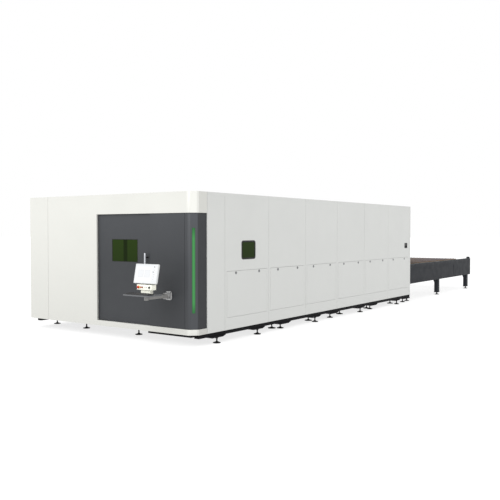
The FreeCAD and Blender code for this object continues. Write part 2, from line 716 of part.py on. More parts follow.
def side_latch():
    """Flush pull latch: a dished black pocket with a paddle across it."""
    y0, y1, z0, z1 = latch_edges()
    rim = LATCH_RIM
    wall = LATCH_WALL
    floor = RIGHT - LATCH_DEPTH + LATCH_SHEET
    flange = box(RIGHT, RIGHT + LATCH_SHEET, y0 - rim, y1 + rim, z0 - rim, z1 + rim)
    pocket = box(RIGHT - LATCH_DEPTH, RIGHT, y0, y1, z0, z1)
    body = flange.fuse(pocket)
    body = body.cut(box(floor, RIGHT + LATCH_SHEET + 1, y0 + wall, y1 - wall, z0 + wall, z1 - wall))
    paddle = box(floor, RIGHT - 1, y0 + wall, y1 - wall, (z0 + z1) / 2, z1 - LATCH_FINGER_GAP)
    return fuse([body, paddle])


def left_side_panels():
    """Plain white panels of the left side, one to a bay."""
    edges = [FRONT_RETURN] + SEAM_YS + [REAR + SEAM / 2]
    panels = [tray(LEFT, FRAME_LEFT, a + SEAM / 2, b - SEAM / 2, BODY_LOW, SIDE_HIGH, "-x")
              for a, b in zip(edges, edges[1:])]
    return group(panels)


def corner_field(inset, x_start, y_end, z0, z1):
    """A block bounded by the front corner's line at an inset."""
    edges = corner_line(inset, x_start, y_end)
    back = V(x_start, y_end, 0)
    edges.append(Part.LineSegment(V(RIGHT - inset, y_end, 0), back).toShape())
    edges.append(Part.LineSegment(back, V(x_start, inset, 0)).toShape())
    field = Part.Face(Part.Wire(Part.__sortEdges__(edges))).extrude(Z_AXIS * (z1 - z0))
    field.translate(V(0, 0, z0))
    return field


def front_roof_panel(end):
    """Roof tray behind the surround, shaped to the chamfered corner."""
    inset = TRAY_DEPTH + SEAM
    outer = fuse([corner_field(inset, LEFT + 2 * SHEET, FRONT_RETURN, SIDE_HIGH, BODY_HIGH),
                  box(LEFT, RIGHT, FRONT_RETURN, end, SIDE_HIGH, BODY_HIGH)])
    top = BODY_HIGH - SHEET
    front_room = corner_field(inset + SHEET, LEFT + 3 * SHEET, FRONT_RETURN + 2 * SHEET,
                              SIDE_HIGH - 1, top)
    room = box(LEFT + SHEET, RIGHT - SHEET, FRONT_RETURN + SHEET, end - SHEET, SIDE_HIGH - 1, top)
    return outer.cut(front_room).cut(room)


def roof_panels():
    """Roof trays across the cabinet, their edges down to the side panels."""
    edges = SEAM_YS[1:-1] + [REAR + SEAM / 2]
    panels = [tray(LEFT, RIGHT, a + SEAM / 2, b - SEAM / 2, SIDE_HIGH, BODY_HIGH, "+z")
              for a, b in zip(edges, edges[1:])]
    return group([front_roof_panel(edges[0] - SEAM / 2)] + panels)


# ---------------------------------------------------------------- rear wall
def slot_edges():
    """Left, right, lower and upper edge of the pallet slot."""
    half = PALLET_WIDTH / 2 + SLOT_SIDE_GAP
    return LINE_X - half, LINE_X + half, SLOT_LOW, SLOT_HIGH


def rear_panel():
    """White rear wall with the pallet slot."""
    x0, x1, z0, z1 = slot_edges()
    left = FRAME_LEFT + SEAM
    right = FRAME_RIGHT - SEAM
    wall = tray(left, right, REAR - TRAY_DEPTH, REAR, BODY_LOW, SIDE_HIGH, "+y")
    wall = wall.cut(box(x0, x1, REAR - 2 * SHEET, REAR + 1, z0, z1))
    return fuse([wall, frame_ring(x0, x1, REAR - TRAY_DEPTH, REAR, z0, z1, "y")])


def rear_door_place():
    """Back face and raised lower edge of the rear door."""
    return REAR - TRAY_DEPTH - DOOR_GAP, SLOT_HIGH + REAR_DOOR_LAP / 2


def rear_door():
    """Lifting door of the pallet slot, shown raised."""
    x0, x1, z0, z1 = slot_edges()
    back, low = rear_door_place()
    lap = REAR_DOOR_LAP
    leaf = tray(x0 - lap, x1 + lap, back - REAR_DOOR_DEPTH, back, low, low + z1 - z0 + 2 * lap, "+y")
    rib_xs = [x0 + (x1 - x0) * (i + 1) / (REAR_RIB_COUNT + 1) for i in range(REAR_RIB_COUNT)]
    front = back - REAR_DOOR_DEPTH
    ribs = [box(x, x + REAR_RIB_WIDTH, front, back - SHEET, low + SHEET, low + z1 - z0 + lap)
            for x in rib_xs]
    return fuse([leaf] + ribs)


def rear_door_guides():
    """Two upright channels on the rear wall's skin, that the door's ends run in."""
    x0, x1, z0, z1 = slot_edges()
    back, low = rear_door_place()
    travel = z1 - z0 + 2 * REAR_DOOR_LAP
    front = back - REAR_DOOR_DEPTH
    top = low + travel + GUIDE_WALL
    bottom = z0 - 2 * REAR_DOOR_LAP
    guides = []
    for side, edge in ((-1, x0 - REAR_DOOR_LAP), (1, x1 + REAR_DOOR_LAP)):
        a, b = sorted((edge - side * GUIDE_LAP, edge + side * 2 * GUIDE_WALL))
        body = box(a, b, front - GUIDE_WALL, REAR - SHEET, bottom, top)
        c, d = sorted((edge - side * (GUIDE_LAP + 1), edge + side * GUIDE_END_GAP))
        guides.append(body.cut(box(c, d, front - RUNNING_GAP, back + RUNNING_GAP, bottom - 1, top + 1)))
    return group(guides)


# ---------------------------------------------------------------- frames and feet
def front_post_xs():
    """Upright posts behind the front panels."""
    return [FRAME_LEFT + POST / 2, SURROUND_LEFT, DOORWAY_LEFT, DOORWAY_RIGHT + POST / 2]


def side_post_ys():
    """Upright posts of each side wall: one at the return and one at each seam."""
    return [FRONT_RETURN + POST / 2] + SEAM_YS


def side_wall_tubes():
    """Posts and long rails of both side walls."""
    half = POST / 2
    beam_low = SIDE_HIGH - POST
    tubes = []
    for side in (-1, 1):
        x0, x1 = sorted((side * FRAME_RIGHT, side * (FRAME_RIGHT - POST)))
        tubes += [(x0, x1, y - half, y + half, BODY_LOW, beam_low) for y in side_post_ys()]
        tubes.append((x0, x1, FRONT_RETURN, REAR - TRAY_DEPTH, beam_low, SIDE_HIGH))
    for level in (BODY_LOW + ACCESS_LOW, BODY_LOW + ACCESS_HIGH):
        for a, b in zip(side_post_ys(), side_post_ys()[1:]):
            tubes.append((FRAME_RIGHT - POST, FRAME_RIGHT, a + half, b - half, level - half, level + half))
    return tubes


def front_wall_tubes():
    """Posts, sill tubes and header beams behind the front panels."""
    half = POST / 2
    beam_low = SIDE_HIGH - POST
    back = DOOR_BACK + DOOR_GAP
    sill_low = BODY_LOW + SHEET
    cross_back = FRONT_CROSS_Y + BASE_BEAM_WIDTH
    tubes = []
    for x in front_post_xs() + [CONSOLE_X]:
        sill_end = cross_back if x - half > FRAME_LEFT else FRONT_RETURN
        tubes.append((x - half, x + half, TRAY_DEPTH, sill_end, sill_low, SILL_TUBE_HIGH))
        tubes.append((x - half, x + half, back, FRONT_RETURN, beam_low, SIDE_HIGH))
    for x in front_post_xs():
        tubes.append((x - half, x + half, back, back + POST, SILL_TUBE_HIGH, beam_low))
    tubes.append((CONSOLE_X - half, CONSOLE_X + half, TRAY_DEPTH, back, SILL_TUBE_HIGH, beam_low - POST))
    flange = SEAM / 2 + SHEET
    spans = ((LEFT + SHEET, SURROUND_LEFT - flange), (SURROUND_LEFT + flange, CHAMFER_X - CORNER_BEND))
    for x0, x1 in spans:
        tubes.append((x0, x1, SHEET, TRAY_DEPTH, sill_low, SILL_TUBE_HIGH))
        tubes.append((x0, x1, SHEET, back, beam_low - POST, beam_low))
    return tubes


def enclosure_frame():
    """Welded frame of square tube that carries every panel: each tube is a solid of its own."""
    half = POST / 2
    roof_tubes = [(FRAME_LEFT + POST, FRAME_RIGHT - POST, y - half, y + half, SIDE_HIGH - POST, SIDE_HIGH)
                  for y in side_post_ys()]
    backing = box(CONSOLE_X - half, CONSOLE_X + half, DARK_RECESS + SHEET, TRAY_DEPTH,
                  CONSOLE_HEIGHT - BACKING_BELOW, CONSOLE_HEIGHT + BACKING_ABOVE)
    tubes = side_wall_tubes() + front_wall_tubes() + roof_tubes
    return group([tube(*corners) for corners in tubes] + [backing])


def base_frame():
    """Black channel base under the enclosure, with outriggers over the feet."""
    low = FOOT_CLEARANCE
    inset = BASE_BEAM_INSET
    outer = RIGHT - inset
    inner = outer - BASE_BEAM_WIDTH
    start = CORNER_CHAMFER + inset
    end = REAR - inset
    width = BASE_BEAM_WIDTH
    parts = [tube(inner, outer, start, end, low, BODY_LOW),
             tube(-outer, -inner, start, end, low, BODY_LOW)]
    for y in base_cross_ys():
        parts.append(tube(-inner, inner, y, y + width, low, BODY_LOW))
    toe_y = 3 * inset
    toe_x = DOORWAY_RIGHT - width
    parts.append(tube(toe_x, inner, toe_y, toe_y + width, low + inset, BODY_LOW))
    for x0 in (toe_x, inner - width):
        parts.append(tube(x0, x0 + width, toe_y + width, FRONT_CROSS_Y, low + inset, BODY_LOW))
    for x, y in side_feet():
        parts.append(outrigger(x, y))
    return group(parts + bed_pads())


def bed_pads():
    """Pads on the cross beams that the machine bed is bolted down to."""
    bed_low = BED_BEAM_TOP - BED_BEAM_HEIGHT
    pads = []
    for y in base_cross_ys():
        if BED_FRONT < y < BED_REAR - BASE_BEAM_WIDTH:
            for side in (-1, 1):
                x = LINE_X + side * (BED_HALF - BED_BEAM_WIDTH / 2)
                half = BED_PAD / 2
                pads.append(box(x - half, x + half, y, y + BASE_BEAM_WIDTH, BODY_LOW, bed_low))
    return pads


def base_cross_ys():
    """Front faces of the base's cross beams."""
    step = (REAR - BASE_BEAM_INSET - BASE_BEAM_WIDTH - FRONT_CROSS_Y) / BASE_CROSS_COUNT
    return [FRONT_CROSS_Y + step * i for i in range(BASE_CROSS_COUNT + 1)]


def spread(first, last, count):
    """Evenly spaced places from first to last."""
    return [first + (last - first) * i / (count - 1) for i in range(count)]


def side_feet():
    """Feet under the two side beams: an outer row and an inner row by turns."""
    outer_x = RIGHT - BASE_BEAM_INSET - OUTER_FOOT_INSET
    inner_x = RIGHT - BASE_BEAM_INSET - BASE_BEAM_WIDTH + INNER_FOOT_INSET
    outer_ys = [FIRST_OUTER_FOOT] + spread(SECOND_OUTER_FOOT, REAR - LAST_OUTER_FOOT, FOOT_ROW)
    inner_ys = spread(FIRST_INNER_FOOT, REAR - LAST_INNER_FOOT, FOOT_ROW)
    places = [(outer_x, y) for y in outer_ys] + [(inner_x, y) for y in inner_ys]
    return [(side * x, y) for side in (-1, 1) for x, y in places]


def outrigger(x, y):
    """Tapered bracket plate under a side beam, wider than the beam over a foot."""
    half = OUTRIGGER_LENGTH / 2
    low = FOOT_CLEARANCE - OUTRIGGER_DROP
    side = 1 if x > 0 else -1
    x0 = side * (RIGHT - BASE_BEAM_INSET - BASE_BEAM_WIDTH)
    outline = [(x0, y - half, FOOT_CLEARANCE), (x0, y + half, FOOT_CLEARANCE),
               (x0, y + half - OUTRIGGER_TAPER, low), (x0, y - half + OUTRIGGER_TAPER, low)]
    return prism(outline, side * (BASE_BEAM_WIDTH + BASE_BEAM_INSET - OUTER_FOOT_INSET), V(1, 0, 0))


def levelling_foot(x, y, top, radius=FOOT_PAD_RADIUS):
    """Round pad with a coned crown, a threaded stud and its locknut."""
    pad = rod(x, y, 0, radius, FOOT_RIM_HEIGHT)
    crown = Part.makeCone(radius, FOOT_NUT_RADIUS, FOOT_CROWN_HEIGHT, V(x, y, FOOT_RIM_HEIGHT))
    stud = rod(x, y, FOOT_PAD_HEIGHT, FOOT_STUD_RADIUS, top - FOOT_PAD_HEIGHT)
    turns = [math.pi / 3 * i for i in range(6)]
    corners = [(x + FOOT_NUT_RADIUS * math.cos(a), y + FOOT_NUT_RADIUS * math.sin(a), top - FOOT_NUT_HEIGHT)
               for a in turns]
    nut = prism(corners, FOOT_NUT_HEIGHT, Z_AXIS)
    return fuse([pad, crown, stud, nut])


def bed_foot_places():
    """Centres of the bed's feet, midway between the base's cross beams."""
    reach = BED_HALF - BED_FOOT_INSET
    crosses = base_cross_ys()
    middles = [(a + b + BASE_BEAM_WIDTH) / 2 for a, b in zip(crosses, crosses[1:])]
    rows = [y for y in middles if BED_FRONT + BED_FOOT_RADIUS < y < BED_REAR]
    return [(LINE_X + side * reach, y) for side in (-1, 1) for y in rows]


def levelling_feet():
    """Every foot: enclosure base, machine bed and pallet changer."""
    feet = [levelling_foot(x, y, FOOT_CLEARANCE - OUTRIGGER_DROP) for x, y in side_feet()]
    front_y = FRONT_CROSS_Y + BASE_BEAM_WIDTH / 2
    feet += [levelling_foot(x, front_y, FOOT_CLEARANCE) for x in FRONT_FOOT_XS]
    bed_low = BED_BEAM_TOP - BED_BEAM_HEIGHT
    feet += [levelling_foot(x, y, bed_low, BED_FOOT_RADIUS) for x, y in bed_foot_places()]
    feet += [levelling_foot(x, y, TABLE_FOOT_HEIGHT) for x, y in table_leg_places()]
    return group(feet)


def track_level(deck_top):
    """Upper face of the track that a pallet's wheels run on."""
    return deck_top - SLAT_SINK - PALLET_TUBE / 2 - WHEEL_RADIUS - RUNNING_GAP


def tracks(inner, y0, y1, deck_tops):
    """Track bars on both sides of the line, out from the faces that carry them."""
    near = PALLET_WIDTH / 2 + TRACK_GAP
    bars = []
    for side in (-1, 1):
        x0, x1 = sorted((LINE_X + side * near, LINE_X + side * inner))
        for top in deck_tops:
            level = track_level(top)
            bars.append(box(x0, x1, y0, y1, level - TRACK_HEIGHT, level))
    return bars


def bed_frame():
    """Welded machine bed: hollow side beams, cross tubes and both decks' tracks."""
    low = BED_BEAM_TOP - BED_BEAM_HEIGHT
    inner = BED_HALF - BED_BEAM_WIDTH
    parts = tracks(inner, BED_FRONT, BED_REAR, (LOWER_DECK_TOP, UPPER_DECK_TOP))
    for side in (-1, 1):
        x0, x1 = sorted((LINE_X + side * inner, LINE_X + side * BED_HALF))
        parts.append(tube(x0, x1, BED_FRONT, BED_REAR, low, BED_BEAM_TOP, BED_WALL))
    step = (BED_REAR - BED_FRONT - BED_CROSS_WIDTH) / (BED_CROSS_COUNT - 1)
    cross_low = low + BED_CROSS_RISE
    for i in range(BED_CROSS_COUNT):
        y = BED_FRONT + step * i
        parts.append(tube(LINE_X - inner, LINE_X + inner, y, y + BED_CROSS_WIDTH,
                          cross_low, cross_low + BED_CROSS_WIDTH, BED_WALL))
    return group(parts)


def bed_rails():
    """Linear rails on the bed's side beams, each with a rack beside it."""
    reach = BED_HALF - BED_BEAM_WIDTH / 2
    bars = []
    for side in (-1, 1):
        x = LINE_X + side * reach
        rail = box(x - RAIL_WIDTH / 2, x + RAIL_WIDTH / 2, BED_FRONT, BED_REAR, BED_BEAM_TOP, RAIL_TOP)
        neck = RAIL_WIDTH / 2 - RAIL_GROOVE_DEPTH
        for edge in (-1, 1):
            a, b = sorted((x + edge * neck, x + edge * (RAIL_WIDTH / 2 + 1)))
            rail = rail.cut(box(a, b, BED_FRONT - 1, BED_REAR + 1,
                                BED_BEAM_TOP + RAIL_GROOVE_LOW, BED_BEAM_TOP + RAIL_GROOVE_HIGH))
        a, b = sorted((x + side * RACK_START, x + side * (RACK_START + RACK_WIDTH)))
        bars += [rail, box(a, b, BED_FRONT, BED_REAR, BED_BEAM_TOP, BED_BEAM_TOP + RACK_HEIGHT)]
    return group(bars)


# ---------------------------------------------------------------- gantry
def gantry_faces():
    """Front and rear face of the gantry beam at its home position."""
    return GANTRY_HOME - GANTRY_DEPTH / 2, GANTRY_HOME + GANTRY_DEPTH / 2


def gantry_beam():
    """Hollow cross beam with its end plates over the bed's rails."""
    y0, y1 = gantry_faces()
    top = GANTRY_LOW + GANTRY_HEIGHT
    x0 = LINE_X - BED_HALF
    x1 = LINE_X + BED_HALF
    beam = tube(x0, x1, y0, y1, GANTRY_LOW, top, GANTRY_WALL)
    plates = []
    for side in (-1, 1):
        a, b = sorted((LINE_X + side * (BED_HALF - BED_BEAM_WIDTH), LINE_X + side * BED_HALF))
        plates.append(box(a, b, y0 - END_PLATE_REACH, y1 + END_PLATE_REACH,
                          GANTRY_LOW - END_PLATE, GANTRY_LOW))
    return fuse([beam] + plates)


def gantry_blocks():
    """Bearing blocks that hold the gantry's end plates on the bed's rails."""
    y0, y1 = gantry_faces()
    reach = BED_HALF - BED_BEAM_WIDTH / 2
    wide = BLOCK_WIDTH / 2
    half = RAIL_WIDTH / 2 + BLOCK_CLEARANCE
    blocks = []
    for side in (-1, 1):
        x = LINE_X + side * reach
        for a, b in ((y0 - BLOCK_OUTER, y0 + BLOCK_INNER), (y1 - BLOCK_INNER, y1 + BLOCK_OUTER)):
            block = box(x - wide, x + wide, a, b, BED_BEAM_TOP + BLOCK_RISE, GANTRY_LOW - END_PLATE)
            blocks.append(block.cut(box(x - half, x + half, a - 1, b + 1, 0, RAIL_TOP + BLOCK_CLEARANCE)))
    return group(blocks)


def cross_rail_levels():
    """Heights of the two rails on the gantry's front face."""
    return GANTRY_LOW + CROSS_RAIL_INSET, GANTRY_LOW + GANTRY_HEIGHT - CROSS_RAIL_INSET


def cross_rails():
    """Two linear rails along the gantry's front face."""
    face = gantry_faces()[0]
    reach = BED_HALF - TRAY_DEPTH
    half = CROSS_RAIL_HEIGHT / 2
    return group([box(LINE_X - reach, LINE_X + reach, face - CROSS_RAIL_DEPTH, face, z - half, z + half)
                  for z in cross_rail_levels()])


def carriage_front():
    """Front face of the carriage plate and of the head's housing."""
    plate = gantry_faces()[0] - CROSS_RAIL_DEPTH - CARRIAGE_GAP - CARRIAGE_PLATE
    return plate, plate - HEAD_HOUSING_DEPTH


def carriage():
    """Carriage: plate, four bearing blocks and the housing of the head's lift."""
    face = gantry_faces()[0]
    plate_y, housing_y = carriage_front()
    half = CARRIAGE_WIDTH / 2
    top = GANTRY_LOW + GANTRY_HEIGHT + CARRIAGE_RISE
    plate_back = plate_y + CARRIAGE_PLATE
    parts = [box(LINE_X - half, LINE_X + half, plate_y, plate_back, GANTRY_LOW + CARRIAGE_LOW, top)]
    wide = CROSS_BLOCK_WIDTH / 2
    tall = CROSS_BLOCK_HEIGHT / 2
    gap = CROSS_RAIL_HEIGHT / 2 + BLOCK_CLEARANCE
    groove = face - CROSS_RAIL_DEPTH - BLOCK_CLEARANCE
    for z in cross_rail_levels():
        for x in (LINE_X - half + CROSS_BLOCK_INSET, LINE_X + half - CROSS_BLOCK_INSET):
            block = box(x - wide, x + wide, plate_back, face - CROSS_BLOCK_GAP, z - tall, z + tall)
            parts.append(block.cut(box(x - wide - 1, x + wide + 1, groove, face, z - gap, z + gap)))
    wide = HEAD_HOUSING_WIDTH / 2
    parts.append(tube(LINE_X - wide, LINE_X + wide, housing_y, plate_y, GANTRY_LOW + HEAD_HOUSING_LOW,
                      top + HEAD_HOUSING_RISE, HEAD_HOUSING_WALL))
    return fuse(parts)


def nozzle_tip():
    """Lowest point of the raised nozzle."""
    return UPPER_DECK_TOP + NOZZLE_CLEARANCE


def head_axis():
    """Y of the cutting head's vertical axis."""
    return carriage_front()[1] - HEAD_REACH


def cutting_head():
    """Cutting head on its slide plate: optics block, collimator and fibre socket."""
    y = head_axis()
    back = carriage_front()[1] - HEAD_GAP
    face = back - HEAD_PLATE
    low = nozzle_tip() + NOZZLE_LENGTH
    body_high = low + HEAD_BODY_HIGH
    wide = HEAD_PLATE_WIDTH / 2
    half = HEAD_BODY_WIDTH / 2
    plate = box(LINE_X - wide, LINE_X + wide, face, back, low + HEAD_PLATE_LOW, low + HEAD_PLATE_HIGH)
    body = box(LINE_X - half, LINE_X + half, y - half, face, low + HEAD_BODY_LOW, body_high)
    body = round_edges(body, HEAD_EDGE, Z_AXIS)
    cone = Part.makeCone(*HEAD_CONE_RADII, HEAD_BODY_LOW, V(LINE_X, y, low))
    collimator = rod(LINE_X, y, body_high, COLLIMATOR_RADIUS, COLLIMATOR_LENGTH)
    socket = rod(LINE_X, y, body_high + COLLIMATOR_LENGTH, SOCKET_RADIUS, SOCKET_LENGTH)
    return fuse([plate, body, cone, collimator, socket])


def nozzle():
    """Cutting nozzle: a round collar and a bored cone below it."""
    y = head_axis()
    tip = nozzle_tip()
    cone_height = NOZZLE_LENGTH - NOZZLE_COLLAR
    collar = rod(LINE_X, y, tip + cone_height, NOZZLE_COLLAR_RADIUS, NOZZLE_COLLAR)
    cone = Part.makeCone(*NOZZLE_CONE_RADII, cone_height, V(LINE_X, y, tip))
    return fuse([collar, cone]).cut(rod(LINE_X, y, tip - 1, NOZZLE_BORE, NOZZLE_LENGTH + 2))


# ---------------------------------------------------------------- pallets
def pallet_start(outer):
    """Front end of the inner or outer pallet."""
    if outer:
        return TABLE_FRONT + PALLET_START_GAP
    return BED_REAR - PALLET_INNER_GAP - PALLET_LENGTH


def pallet_top(outer):
    """Level of a pallet's slat tips."""
    return UPPER_DECK_TOP if outer else LOWER_DECK_TOP


def pallet(outer):
    """Pallet frame with slat seats along both sides, and its wheels."""
    y0 = pallet_start(outer)
    y1 = y0 + PALLET_LENGTH
    top = pallet_top(outer) - SLAT_SINK
    low = top - PALLET_TUBE
    x0 = LINE_X - PALLET_WIDTH / 2
    x1 = LINE_X + PALLET_WIDTH / 2
    size = PALLET_TUBE
    parts = [tube(x0, x0 + size, y0, y1, low, top), tube(x1 - size, x1, y0, y1, low, top)]
    for i in range(PALLET_CROSS_COUNT):
        y = y0 + (PALLET_LENGTH - size) * i / (PALLET_CROSS_COUNT - 1)
        parts.append(tube(x0 + size, x1 - size, y, y + size, low, top - SLAT_SINK))
    wheels = []
    axle_z = low + size / 2
    for i in range(WHEEL_COUNT):
        y = y0 + WHEEL_END_INSET + (PALLET_LENGTH - 2 * WHEEL_END_INSET) * i / (WHEEL_COUNT - 1)
        for side in (-1, 1):
            face = LINE_X + side * PALLET_WIDTH / 2
            out = V(side, 0, 0)
            wheel = rod(face + side * WHEEL_STANDOFF, y, axle_z, WHEEL_RADIUS, WHEEL_WIDTH, out)
            axle = rod(face, y, axle_z, WHEEL_AXLE_RADIUS, WHEEL_STANDOFF, out)
            wheels.append(fuse([wheel, axle]))
    return group(parts + wheels)


def slats(outer):
    """Upright slats across a pallet, between its side tubes."""
    y0 = pallet_start(outer)
    top = pallet_top(outer)
    x0 = LINE_X - PALLET_WIDTH / 2 + PALLET_TUBE
    x1 = LINE_X + PALLET_WIDTH / 2 - PALLET_TUBE
    count = int((PALLET_LENGTH - PALLET_TUBE) // SLAT_PITCH)
    first = y0 + (PALLET_LENGTH - SLAT_PITCH * (count - 1)) / 2
    half = SLAT_THICKNESS / 2
    return group([box(x0, x1, first + SLAT_PITCH * i - half, first + SLAT_PITCH * i + half,
                      top - SLAT_HEIGHT, top) for i in range(count)])


# ---------------------------------------------------------------- pallet changer
def table_leg_places():
    """Leg centres of the changer, a pair at each place along it."""
    reach = TABLE_HALF - TABLE_LEG_DEPTH / 2
    last = TABLE_END - TABLE_END_LEG
    ys = [TABLE_FRONT + TABLE_FIRST_LEG, last - TABLE_LEG_PITCH, last]
    return [(LINE_X + side * reach, y) for side in (-1, 1) for y in ys]


def table_leg(x, y):
    """Square leg with a foot plate and a gusset up to the side beam.

    The gusset is before the leg, and behind it at the changer's front end.
    """
    half = TABLE_LEG / 2
    deep = TABLE_LEG_DEPTH / 2
    low = TABLE_FOOT_HEIGHT + TABLE_PLATE
    top = UPPER_DECK_TOP - TABLE_BEAM_HEIGHT
    leg = tube(x - deep, x + deep, y - half, y + half, low, top)
    lap = half + TABLE_PLATE_LAP
    plate = box(x - deep, x + deep, y - lap, y + lap, TABLE_FOOT_HEIGHT, low)
    size = TABLE_GUSSET
    way = 1 if y < TABLE_FRONT + half + size else -1
    near = y + way * half
    outline = [(x - deep, near, top), (x - deep, near + way * size, top), (x - deep, near, top - size)]
    gusset = prism(outline, TABLE_GUSSET_DEPTH, V(1, 0, 0))
    return fuse([leg, plate, gusset])


def table_side_beam(side):
    """Deep hollow side beam with a shallow pressed panel along its outer face."""
    low = UPPER_DECK_TOP - TABLE_BEAM_HEIGHT
    face = LINE_X + side * TABLE_HALF
    x0, x1 = sorted((face, face - side * TABLE_BEAM_WIDTH))
    beam = tube(x0, x1, TABLE_FRONT, TABLE_END, low, UPPER_DECK_TOP, TABLE_WALL)
    a, b = sorted((face + side, face - side * TABLE_WALL / 2))
    pressing = box(a, b, TABLE_FRONT + TABLE_LEG, TABLE_FRONT + TABLE_PRESSING,
                   low + TABLE_LEG / 2, UPPER_DECK_TOP - TABLE_LEG)
    return beam.cut(pressing)


def table_frame():
    """Welded frame of the changer: side beams, cross tubes, legs, tracks and stops."""
    inner = TABLE_HALF - TABLE_BEAM_WIDTH
    low = UPPER_DECK_TOP - TABLE_BEAM_HEIGHT
    decks = (LOWER_DECK_TOP, UPPER_DECK_TOP)
    through = PALLET_WIDTH / 2 + SLOT_SIDE_GAP
    parts = [table_side_beam(side) for side in (-1, 1)]
    parts += tracks(through, REAR - TRACK_HEIGHT, TABLE_FRONT, decks)
    parts += tracks(inner, TABLE_FRONT, TABLE_END, decks)
    parts += [table_leg(x, y) for x, y in table_leg_places()]
    half = POST / 2
    cross_low = low + TABLE_WALL
    for y in sorted({y for _, y in table_leg_places()}):
        parts.append(tube(LINE_X - inner, LINE_X + inner, y - half, y + half, cross_low, cross_low + POST))
    parts.append(tube(LINE_X - inner, LINE_X + inner, TABLE_END - POST, TABLE_END,
                      cross_low, DRIVE_SHELF - TABLE_WALL))
    parts.append(box(LINE_X - DRIVE_WIDTH, LINE_X + DRIVE_WIDTH, TABLE_END - DRIVE_DEPTH, TABLE_END,
                     DRIVE_SHELF - TABLE_WALL, DRIVE_SHELF))
    for side in (-1, 1):
        x0, x1 = sorted((LINE_X + side * TABLE_HALF, LINE_X + side * inner))
        parts.append(box(x0, x1, TABLE_END - 2 * POST, TABLE_END - POST,
                         UPPER_DECK_TOP, UPPER_DECK_TOP + STOP_HEIGHT))
    return group(parts)


def exchange_drive():
    """Gearbox and motor on the shelf at the far end, with the shaft of both chains."""
    y = TABLE_END - DRIVE_DEPTH / 2
    inner = TABLE_HALF - TABLE_BEAM_WIDTH
    z = DRIVE_SHELF + SHAFT_RISE
    half = GEARBOX_WIDTH / 2
    along = V(1, 0, 0)
    gearbox = box(LINE_X - half, LINE_X + half, y - half, y + half,
                  DRIVE_SHELF, DRIVE_SHELF + GEARBOX_HEIGHT)
    motor = rod(LINE_X + half, y, z, MOTOR_RADIUS, MOTOR_LENGTH, along)
    shaft = rod(LINE_X - inner, y, z, SHAFT_RADIUS, 2 * inner, along)
    parts = [gearbox, motor, shaft]
    for side in (-1, 1):
        x = LINE_X + side * (PALLET_WIDTH / 2 - PALLET_TUBE)
        parts.append(rod(x - SPROCKET_WIDTH / 2, y, z, SPROCKET_RADIUS, SPROCKET_WIDTH, along))
    return fuse(parts)


# ---------------------------------------------------------------- machine room
def floor_cabinet(cross, x0, x1, height, door_count):
    """A cabinet standing on two neighbouring cross beams, its doors marked by grooves."""
    crosses = base_cross_ys()
    y0 = crosses[cross] + BASE_BEAM_WIDTH / 2
    y1 = crosses[cross + 1] + BASE_BEAM_WIDTH / 2
    case = tube(x0, x1, y0, y1, BODY_LOW, BODY_LOW + height, ROOM_UNIT_WALL)
    step = (y1 - y0) / door_count
    half = UNIT_GROOVE_WIDTH / 2
    for i in range(1, door_count):
        y = y0 + step * i
        case = case.cut(box(x1 - UNIT_GROOVE_DEPTH, x1 + 1, y - half, y + half,
                            BODY_LOW + UNIT_GROOVE_LOW, BODY_LOW + height - UNIT_GROOVE_HIGH))
    return case


def laser_source():
    """Laser source unit of the machine room."""
    x0 = FRAME_LEFT + 3 * POST
    return floor_cabinet(1, x0, x0 + ROOM_UNIT_DEPTH, LASER_UNIT_HEIGHT, 1)


def electrical_cabinet():
    """Electrical cabinet of the machine room, with three doors."""
    x0 = FRAME_LEFT + 2 * POST
    return floor_cabinet(3, x0, x0 + ROOM_UNIT_DEPTH, ELECTRICAL_HEIGHT, 3)


# ---------------------------------------------------------------- operator console
ARM_PIVOT_Y = DARK_RECESS - 74
CONSOLE_Y = ARM_PIVOT_Y - ARM_REACH
ARM_TOP = CONSOLE_HEIGHT - 8
ARM_MIDDLE = ARM_TOP - ARM_RADIUS
TRAY_TOP = CONSOLE_HEIGHT + TRAY_THICKNESS
CONTROL_LOW = TRAY_TOP + NECK_HEIGHT
CONTROL_HIGH = CONTROL_LOW + CONTROL_HEIGHT
CONTROL_FACE = CONSOLE_Y - CONTROL_DEPTH / 2
MAST_Y = CONSOLE_Y + CONTROL_DEPTH / 2 + 7
HINGE_Z = CONTROL_HIGH + MONITOR_HEIGHT / 2


def console_bracket():
    """Wall bracket: plate, two ears and the pin that the arm turns on."""
    x = CONSOLE_X
    low = ARM_MIDDLE - ARM_RADIUS
    half = BRACKET_WIDTH / 2
    face = DARK_RECESS - BRACKET_PLATE
    plate = box(x - half, x + half, face, DARK_RECESS, low - BRACKET_MARGIN, ARM_TOP + BRACKET_MARGIN)
    plate = round_edges(plate, BRACKET_EDGE, V(0, 1, 0))
    parts = [plate]
    for z in (low - EAR_GAP - EAR_THICKNESS, ARM_TOP + EAR_GAP):
        parts.append(box(x - ARM_RADIUS, x + ARM_RADIUS, ARM_PIVOT_Y, face, z, z + EAR_THICKNESS))
        parts.append(rod(x, ARM_PIVOT_Y, z, ARM_RADIUS, EAR_THICKNESS))
    parts.append(rod(x, ARM_PIVOT_Y, low - 1, PIN_RADIUS, 2 * ARM_RADIUS + 2))
    return fuse(parts)


def console_arm():
    """Round arm with a bored hub at each end."""
    x = CONSOLE_X
    low = ARM_MIDDLE - ARM_RADIUS
    hubs = [rod(x, y, low, ARM_RADIUS, 2 * ARM_RADIUS) for y in (ARM_PIVOT_Y, CONSOLE_Y)]
    beam = rod(x, CONSOLE_Y, ARM_MIDDLE, ARM_BEAM_RADIUS, ARM_REACH, V(0, 1, 0))
    arm = fuse(hubs + [beam])
    for y in (ARM_PIVOT_Y, CONSOLE_Y):
        arm = arm.cut(rod(x, y, low - 1, PIN_RADIUS + PIN_GAP, 2 * ARM_RADIUS + 2))
    return arm


